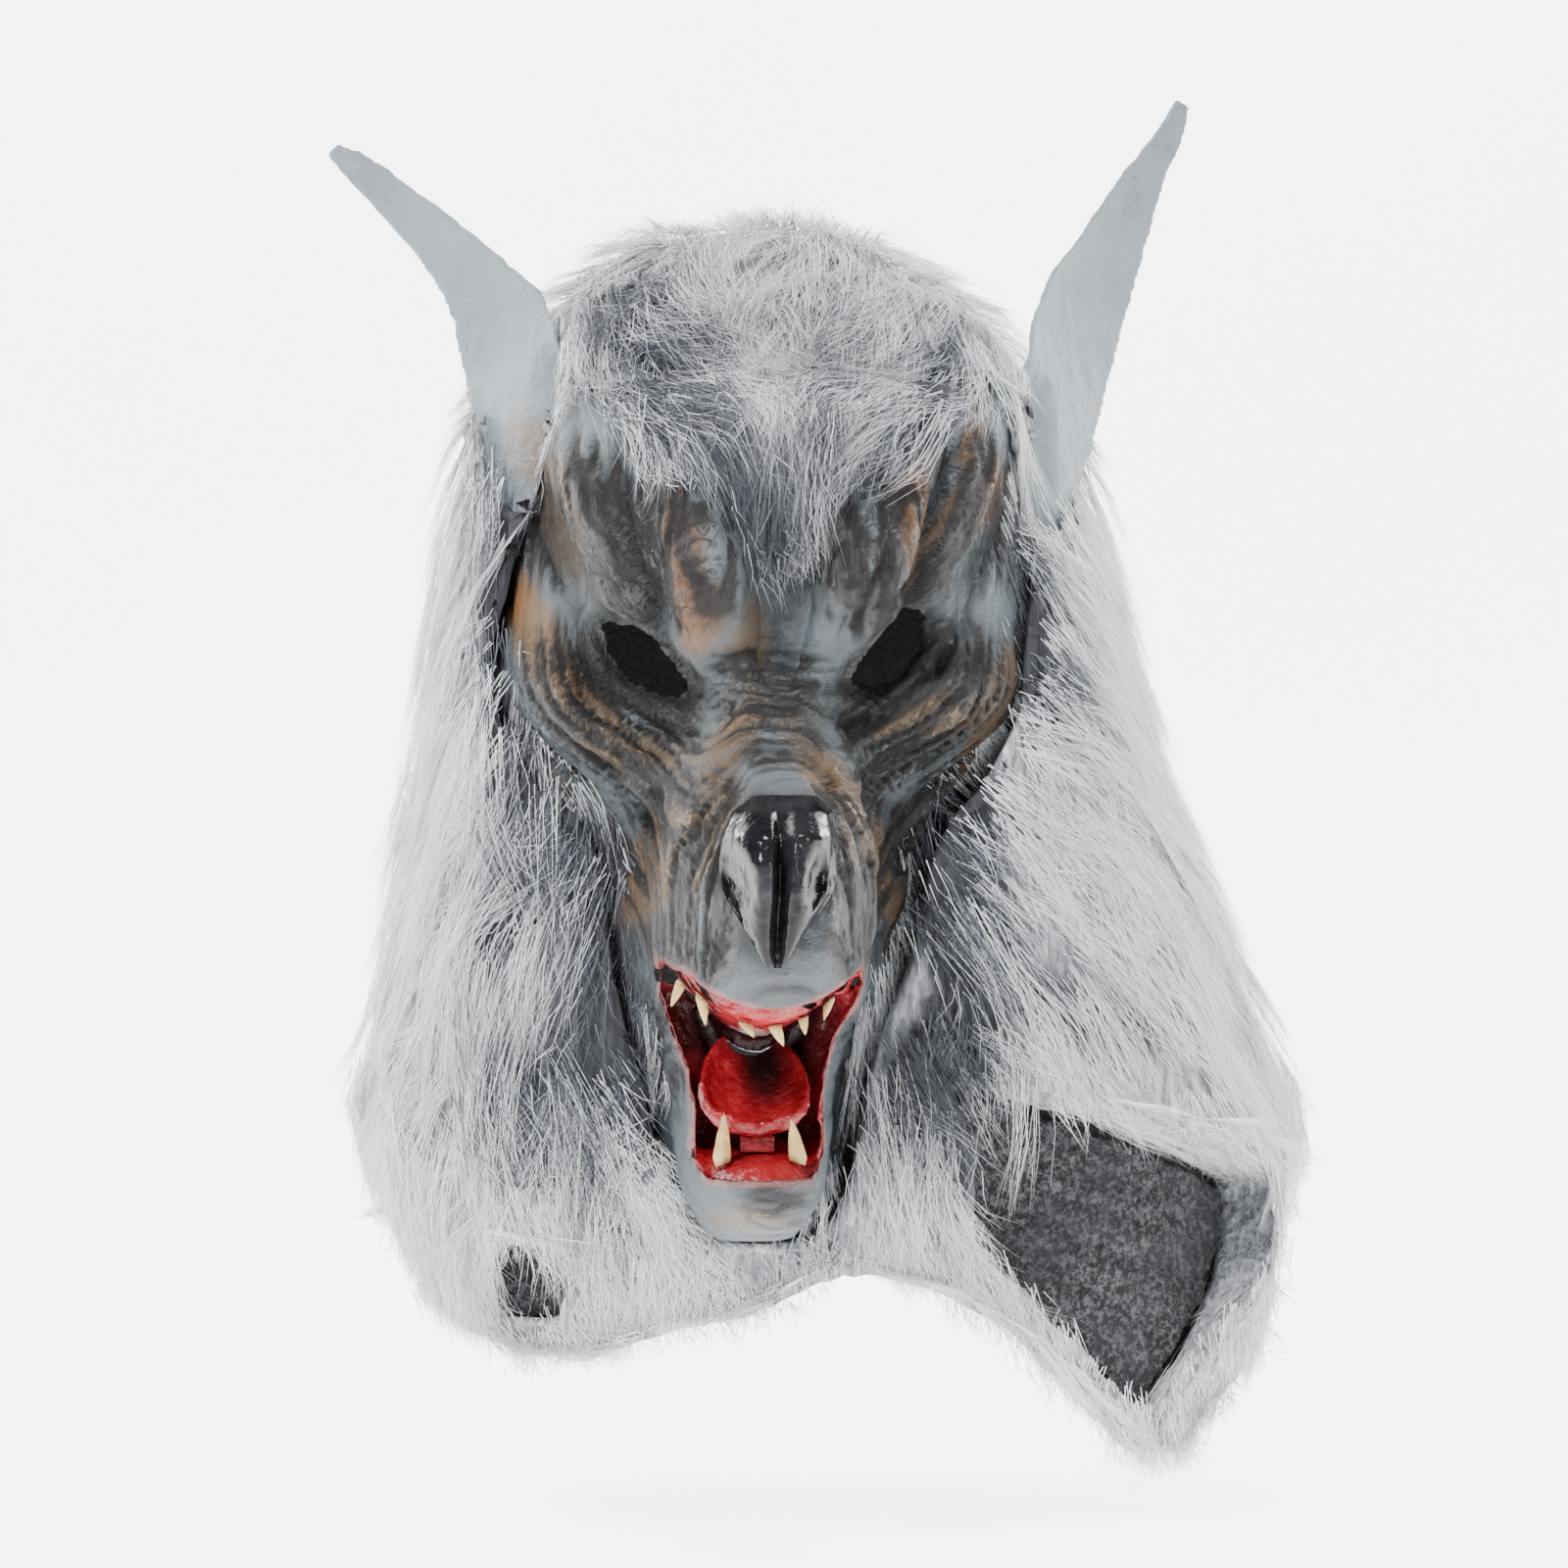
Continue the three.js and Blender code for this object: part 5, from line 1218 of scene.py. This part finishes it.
# %% Way the fur is combed
COMB = [
    {"at": (8, 0, 24), "way": (-0.2, -0.7, 0.1), "stray": 14},
    {"at": (60, 0, 10), "way": (1.0, -0.2, -0.5), "stray": 20},
    {"at": (-50, 0, 10), "way": (-1.0, -0.2, -0.5), "stray": 22},
    {"at": (8, 70, 5), "way": (0.0, 1.0, -0.6), "stray": 18},
    {"at": (8, -60, 10), "way": (-0.3, -0.7, -0.8), "stray": 13},
    {"at": (-35, -85, -20), "way": (0.75, -0.3, -0.65), "stray": 20},
    {"at": (-60, -60, -5), "way": (0.3, -0.4, -0.7), "stray": 16},
    {"at": (50, -85, -15), "way": (-0.8, -0.2, -0.6), "stray": 14},
    {"at": (70, -50, -5), "way": (-0.2, -0.4, -0.9), "stray": 18},
    {"at": (-22, -100, -55), "way": (0.6, -0.1, -0.8), "stray": 18},
    {"at": (34, -98, -50), "way": (-0.7, -0.1, -0.7), "stray": 14},
    {"at": (6, -108, -75), "way": (0.0, -0.1, -1.0), "stray": 16},
    {"at": (-85, -60, -110), "way": (-0.3, 0.0, -1.0), "stray": 24},
    {"at": (-78, -65, -170), "way": (-0.35, 0.0, -1.0), "stray": 26},
    {"at": (-60, -75, -250), "way": (0.3, 0.0, -1.0), "stray": 26},
    {"at": (-105, 0, -150), "way": (-0.2, 0.3, -1.0), "stray": 18},
    {"at": (-110, 0, -270), "way": (-0.1, 0.1, -1.0), "stray": 18},
    {"at": (80, -60, -70), "way": (0.75, 0.2, -0.75), "stray": 12},
    {"at": (85, -60, -120), "way": (0.8, 0.2, -0.65), "stray": 11},
    {"at": (80, -70, -180), "way": (0.75, 0.1, -0.8), "stray": 11},
    {"at": (110, -20, -180), "way": (0.6, 0.4, -0.8), "stray": 11},
    {"at": (60, -80, -225), "way": (0.2, -0.1, -1.0), "stray": 16},
    {"at": (100, -50, -215), "way": (0.45, -0.1, -0.9), "stray": 12},
    {"at": (120, -20, -280), "way": (0.2, 0.1, -1.0), "stray": 16},
    {"at": (8, 110, -100), "way": (0.0, 0.1, -1.0), "stray": 12},
    {"at": (8, 110, -250), "way": (0.0, 0.0, -1.0), "stray": 12},
]
COMB_MIX = 18.0


def comb_weights(points):
    """How much each comb place counts at points: the more, the nearer it is."""
    places = np.array([row["at"] for row in COMB], float)
    away = ((points[:, None, :] - places[None]) ** 2).sum(2)
    weights = 1 / (away + COMB_MIX**2) ** 2
    return weights / weights.sum(1, keepdims=True)


def comb_way(points):
    ways = comb_weights(points) @ np.array([row["way"] for row in COMB], float)
    return ways / np.linalg.norm(ways, axis=1, keepdims=True)


def comb_stray(points):
    return np.radians(comb_weights(points) @ np.array([row["stray"] for row in COMB], float))


print("comb places:", len(COMB))

# %% [markdown]
# Real pile hangs together in locks, in two layers: a short, dense one below and long guard
# hairs above. Lengths are in millimetres. The locks of a layer are shared out among the
# sections of the fur, and the face gets some too, along its border.

# %% Layers of hair
HAIR_LAYERS = [
    # The under layer's shade of 0.36 greys its pale hairs, as painted shade below the guard hairs
    {"name": "under", "locks": 1350, "per": 20, "points": 3, "long": (14, 24), "rise": (-1.5, 1.0),
     "root": 2.5, "spread": 8.0, "pinch": 0.2, "fan": 5.0, "wide": 0.38, "shade": 0.36, "dark": 1.2},
    {"name": "guard", "locks": 1500, "per": 25, "points": 3, "long": (34, 60), "rise": (1.0, 4.5),
     "root": 3.0, "spread": 6.5, "pinch": 0.45, "fan": 4.0, "wide": 0.28, "shade": 0.0, "dark": 1.1},
]
LOCKS_SHARE = {
    "fur_crown": 0.20, "fur_left": 0.23, "fur_right": 0.25,
    "fur_back": 0.07, "fur_forelock": 0.08, "face_shell": 0.15,
}
CROWN_RISE = 4.5
ROOT_DEEP = {"face_shell": 1.0, "fur_forelock": 2.0}
print("locks:", {layer["name"]: layer["locks"] for layer in HAIR_LAYERS})

# %% [markdown]
# The roots of the locks are scattered over the outer side of each section. They stand closer
# in front, along the hem and most of all over the brow. On the face, many places are tried and
# only those in a narrow strip beside the fur are kept.

# %% Where the locks grow
FUR_TREE = tree_of(FUR_NODES)
BORDER_TREE = tree_of(["fur_crown", "fur_left", "fur_right"])
FACE_BORDER = 10.0
FACE_TRIES = 14
# How far a facet has to turn out, ahead or down for hairs to grow on it
OUT, AHEAD, THIN_AHEAD, DOWN = 0.35, 0.45, 0.3, 0.3
HEM_FROM = -235.0
HEM_FADE = 30
FRONT_DENSITY = 4.0
HEM_DENSITY = 1.2
BROW_DENSITY = 5.0


def scattered(node, count, rng):
    """Random places on the outer side of one fur solid, and the way out at each."""
    mesh = merged_copy(node)
    mesh.calc_loop_triangles()
    corners = points_of(mesh)[np.array([t.vertices[:] for t in mesh.loop_triangles])] / MM
    ways = np.cross(corners[:, 1] - corners[:, 0], corners[:, 2] - corners[:, 0])
    area = np.linalg.norm(ways, axis=1)
    ways /= np.maximum(area[:, None], 1e-9)
    middles = corners.mean(1)
    if node in ("fur_forelock", "face_shell"):
        outer = ways[:, 1] < -THIN_AHEAD
    else:
        outer = (ways * outward_of(middles)).sum(1) > OUT
        outer |= (ways[:, 2] < -DOWN) & (middles[:, 2] < HEM_FROM)
        outer |= (ways[:, 1] < -AHEAD) & (middles[:, 1] < 0)
    chance = area * outer * (1 + FRONT_DENSITY * smooth_step(-middles[:, 1], 0, 50))
    chance *= 1 + HEM_DENSITY * smooth_step(-middles[:, 2], -HEM_FROM, HEM_FADE - HEM_FROM)
    brow = smooth_step(middles[:, 2], -45, -15) * smooth_step(50 - np.abs(middles[:, 0] - 5), 0, 15)
    chance *= 1 + BROW_DENSITY * brow * smooth_step(-middles[:, 1], 60, 80)
    tries = count * (FACE_TRIES if node == "face_shell" else 1)
    picked = rng.choice(len(area), tries, p=chance / chance.sum())
    u, v = rng.random(tries), rng.random(tries)
    u, v = np.where(u + v > 1, 1 - u, u), np.where(u + v > 1, 1 - v, v)
    first, second, third = (corners[picked, i] for i in range(3))
    roots = first + u[:, None] * (second - first) + v[:, None] * (third - first)
    if node == "face_shell":
        near = np.flatnonzero(surface_at(roots, BORDER_TREE)[2] < FACE_BORDER)[:count]
        return roots[near], ways[picked][near]
    return roots, ways[picked]


def surface_at(points, tree=FUR_TREE):
    """The way out at the nearest place of the fur, the height over it and how far it is."""
    found = [tree.find_nearest(Vector(point)) for point in points]
    ways = np.array([hit[1][:] for hit in found])
    height = ((points - np.array([hit[0][:] for hit in found])) * ways).sum(1)
    return ways, height, np.array([hit[3] for hit in found])


print("sections with hairs:", ", ".join(LOCKS_SHARE))

# %% [markdown]
# One leading hair is grown for each lock. It starts below the surface, follows the comb in
# short steps and is held at a set height over the surface, so that the fur keeps its outline.
# Past an edge it simply goes on, so it is shortened where it hangs too far. A leading hair that
# would cover an ear, a bare patch or, at the temples, the face is left out with its lock.

# %% Leading hairs
PATCH_TREE = tree_of(PATCH_NODES)
EAR_TREE = tree_of(["ear_left", "ear_right"])
BARE_TREE = tree_of(["ear_left", "ear_right", "face_shell"])
# Only this near to the surface is a hair held at its height
HELD_WITHIN = 14
# How far hairs may hang over an edge, at the least and at the most
OVERHANG = (5.0, 14.0)
HEM_OVERHANG = (4.0, 10.0)
PATCH_OVERHANG = 12.0
PATCH_NEAR = 12.0
SHORTENINGS, SHORTENED_TO = 8, 0.84
# The face is kept bare outside this half width of the brow, between two heights
BROW_HALF = 52.0
TEMPLE_TOP, TEMPLE_LOW = -28.0, -95.0
# Lengths of the looks from a little in front of a hair backwards
LOOK_FROM, LOOK_FOR_PATCH, LOOK_FOR_SKIN = 5, 40, 90


def leading_hairs(roots, ways, longs, rises, deep, steps, rng):
    """Paths of the leading hairs, as points from root to tip."""
    path = [roots - ways * deep]
    turn = rng.normal(0, 1, len(roots)) * comb_stray(roots)
    at = roots
    for step in range(1, steps + 1):
        heading = comb_way(at)
        heading -= ways * (heading * ways).sum(1, keepdims=True)
        heading /= np.maximum(np.linalg.norm(heading, axis=1, keepdims=True), 1e-6)
        side = np.cross(ways, heading)
        heading = heading * np.cos(turn)[:, None] + side * np.sin(turn)[:, None]
        at = path[-1] + heading * (longs / steps)[:, None]
        new_ways, height, _ = surface_at(at)
        wanted = -deep + (rises + deep) * (step / steps) ** 0.6
        held = ((new_ways * ways).sum(1) > 0.5) & (np.abs(height) < HELD_WITHIN)
        at = at + ways * np.where(held, wanted - height, 0.8 * step)[:, None]
        ways = np.where(held[:, None], new_ways, ways)
        path.append(at)
    return np.stack(path, axis=1)


def shortened(path, rng):
    """The paths, drawn in where their tips hang too far out over an edge of the fur."""
    hem = path[:, 0, 2] < HEM_FROM
    low = np.where(hem, HEM_OVERHANG[0], OVERHANG[0])
    high = np.where(hem, HEM_OVERHANG[1], OVERHANG[1])
    limit = low + (high - low) * rng.random(len(path)) ** 2
    limit += PATCH_OVERHANG * (surface_at(path[:, -1], PATCH_TREE)[2] < PATCH_NEAR)
    for _ in range(SHORTENINGS):
        far = surface_at(path[:, -1])[2] > limit
        path[far] = path[far, :1] + SHORTENED_TO * (path[far] - path[far, :1])
    return path


def lies_before(point, tree, length):
    """Whether a point lies before a surface, seen from the front."""
    start = Vector((point[0], point[1] - LOOK_FROM, point[2]))
    return tree.ray_cast(start, Vector((0, 1, 0)), length)[0] is not None


def before_bare_skin(path):
    """Which paths cover an ear, a bare patch or, at the temples, the face."""
    crossing = np.zeros(len(path), bool)
    for i, points in enumerate(path):
        x, _, z = points[0]
        temple = abs(x - HOOD_AXIS[0]) > BROW_HALF and TEMPLE_LOW < z < TEMPLE_TOP
        tree = BARE_TREE if temple else EAR_TREE
        # Over the right patch some hairs may hang, if they don't grow on it
        low = points[:2] if x < 0 else points[:1]
        crossing[i] = any(lies_before(point, PATCH_TREE, LOOK_FOR_PATCH) for point in low)
        crossing[i] |= any(lies_before(point, tree, LOOK_FOR_SKIN) for point in points[1:])
    return crossing


print("rounds of shortening:", SHORTENINGS)

# %% [markdown]
# The hairs of a lock copy its leading hair. Each one starts at its own place around it, waves
# to the side, fans out and draws together towards the tip.

# %% Hairs of a lock
HAIR_WAVE = 1.3
HAIR_LIFT = 1.0
HAIR_SHORTEST = 0.72


def lock_hairs(path, ways, layer, rng):
    """All hairs of the locks: copies of the leading paths that draw together."""
    per = layer["per"]
    lead = np.repeat(path, per, axis=0)
    out = np.repeat(ways, per, axis=0)[:, None, :]
    along = lead[:, -1:] - lead[:, :1]
    along /= np.linalg.norm(along, axis=2, keepdims=True)
    side = np.cross(out, along)
    t = np.linspace(0, 1, layer["points"])[None, :, None]
    count = len(lead)
    span = layer["spread"] * np.sqrt(rng.random((count, 1, 1)))
    angle = rng.uniform(0, 2 * math.pi, (count, 1, 1))
    offset = span * (np.cos(angle) * side + np.sin(angle) * along)
    swing = rng.normal(0, HAIR_WAVE, (count, 1, 1))
    wave = swing * np.sin(t * math.pi * rng.uniform(0.6, 1.6, (count, 1, 1)))
    wave = wave + rng.normal(0, layer["fan"], (count, 1, 1)) * t**1.5
    lift = rng.normal(0, HAIR_LIFT, (count, 1, 1)) * t
    short = rng.uniform(HAIR_SHORTEST, 1.0, (count, 1, 1))
    body = lead[:, :1] + (lead - lead[:, :1]) * short
    return body + offset * (1 - layer["pinch"] * t) + side * wave + out * lift


print("hairs of a lock:", {layer["name"]: layer["per"] for layer in HAIR_LAYERS})

# %% [markdown]
# All hairs of a section and a layer become one mesh. A hair is a thin tube with three sides
# that ends in a point. Its shade and tone are painted on it, and how far up each point lies.

# %% Mesh of the hairs
HAIR_SIDES = 3
HAIR_TAPER = 0.45
# A direction that is never quite that of a hair
ASKEW = np.array([0.31, -0.52, 0.79])


def hair_mesh(name, hairs, widths, shades, tones):
    """One mesh of thin three-sided hairs that taper to a point."""
    count = len(hairs)
    ways = hairs[:, 1:] - hairs[:, :-1]
    ways /= np.maximum(np.linalg.norm(ways, axis=2, keepdims=True), 1e-6)
    across = np.cross(ways, ASKEW)
    across /= np.maximum(np.linalg.norm(across, axis=2, keepdims=True), 1e-6)
    up = np.cross(ways, across)
    rings = hairs.shape[1] - 1
    taper = np.linspace(1, HAIR_TAPER, rings)[None, :, None, None] * widths[:, None, None, None]
    turns = 2 * math.pi * np.arange(HAIR_SIDES)[None, None, :, None] / HAIR_SIDES
    circle = np.cos(turns) * across[:, :, None] + np.sin(turns) * up[:, :, None]
    tube = (hairs[:, :-1, None] + 0.5 * taper * circle).reshape(count, rings * HAIR_SIDES, 3)
    points = np.concatenate([tube, hairs[:, -1:]], axis=1)
    faces = [(2, 1, 0)]
    for ring, k in itertools.product(range(rings - 1), range(HAIR_SIDES)):
        low, high = ring * HAIR_SIDES, (ring + 1) * HAIR_SIDES
        n = (k + 1) % HAIR_SIDES
        faces.append((low + k, low + n, high + n, high + k))
    last, tip = (rings - 1) * HAIR_SIDES, rings * HAIR_SIDES
    faces += [(last + k, last + (k + 1) % HAIR_SIDES, tip) for k in range(HAIR_SIDES)]
    sizes = np.array([len(face) for face in faces])
    corners = np.concatenate(faces)
    starts = np.arange(count)[:, None] * (tip + 1)
    mesh = bpy.data.meshes.new(name)
    mesh.vertices.add(points.shape[0] * points.shape[1])
    mesh.vertices.foreach_set("co", (points * MM).astype(np.float32).ravel())
    mesh.loops.add(count * len(corners))
    mesh.loops.foreach_set("vertex_index", (corners[None] + starts).astype(np.int32).ravel())
    mesh.polygons.add(count * len(faces))
    first = np.concatenate([[0], np.cumsum(np.tile(sizes, count))[:-1]])
    mesh.polygons.foreach_set("loop_start", first.astype(np.int32))
    mesh.update(calc_edges=True)
    mesh.shade_smooth()
    rise = np.concatenate([np.repeat(np.arange(rings) / rings, HAIR_SIDES), [1.0]])
    paint(mesh, "shade", np.repeat(shades, tip + 1))
    paint(mesh, "tone", np.repeat(tones, tip + 1))
    paint(mesh, "rise", np.tile(rise, count))
    return mesh


print("sides of a hair:", HAIR_SIDES)

# %% [markdown]
# A hair is either pale or dark, as its place says, and its tone sets it a little apart from the
# next one. Its tip is somewhat lighter than its root. Each lock strays a little to the pale or
# to the dark side as a whole.

# %% Grow the hairs
SHADE_STRAY = 0.15
WIDTHS = (0.7, 1.2)


def hair_finish():
    hair = Finish("combed_hair")
    cloud = hair.noise(1200.0, 1.0)
    tone = hair.painted("tone")
    white = hair.mix(tone, (0.66, 0.69, 0.73), (0.90, 0.91, 0.93))
    black = hair.mix(tone, (0.010, 0.011, 0.015), (0.11, 0.12, 0.15))
    shade = hair.painted("shade")
    shade = hair.maths("SUBTRACT", shade, hair.maths("MULTIPLY", hair.painted("rise"), 0.12))
    body = hair.mix(hair.between(shade, 0.25, 0.75), white, black)
    body = hair.mix(hair.between(cloud, 0.0, 1.0, 0.0, 0.15), body, (0.42, 0.45, 0.50))
    normal = hair.relief(cloud, 0.0003, 0.3)
    return hair.finish(body, hair.between(tone, 0.0, 1.0, 0.42, 0.62), normal)


HAIR = hair_finish()


def make_hair(node, layer, rng):
    locks = int(layer["locks"] * LOCKS_SHARE[node])
    roots, ways = scattered(node, locks, rng)
    longs = rng.uniform(*layer["long"], len(roots))
    rises = rng.uniform(*layer["rise"], len(roots)) + (CROWN_RISE if node == "fur_crown" else 0)
    deep = ROOT_DEEP.get(node, layer["root"])
    path = leading_hairs(roots, ways, longs, rises, deep, layer["points"] - 1, rng)
    path = shortened(path, rng)
    free = ~before_bare_skin(path)
    hairs = lock_hairs(path[free], ways[free], layer, rng)
    dark = np.clip(layer["dark"] * darkness(hairs[:, 1:].mean(1)), 0, 1)
    bias = np.repeat(rng.uniform(-SHADE_STRAY, SHADE_STRAY, free.sum()), layer["per"]) * (dark > 0.05)
    shades = np.where(rng.random(len(hairs)) < dark + bias, 1.0, layer["shade"])
    widths = layer["wide"] * rng.uniform(*WIDTHS, len(hairs))
    name = f"{node}_{layer['name']}_hair"
    mesh = hair_mesh(name, hairs, widths, shades, rng.random(len(hairs)))
    mesh.materials.append(HAIR)
    piece = piece_from(name, mesh)
    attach(piece, "root")
    print(name, "has", len(hairs), "hairs")
    return piece


hair_seed = np.random.default_rng(200)
for node, layer in itertools.product(LOCKS_SHARE, HAIR_LAYERS):
    make_hair(node, layer, hair_seed)
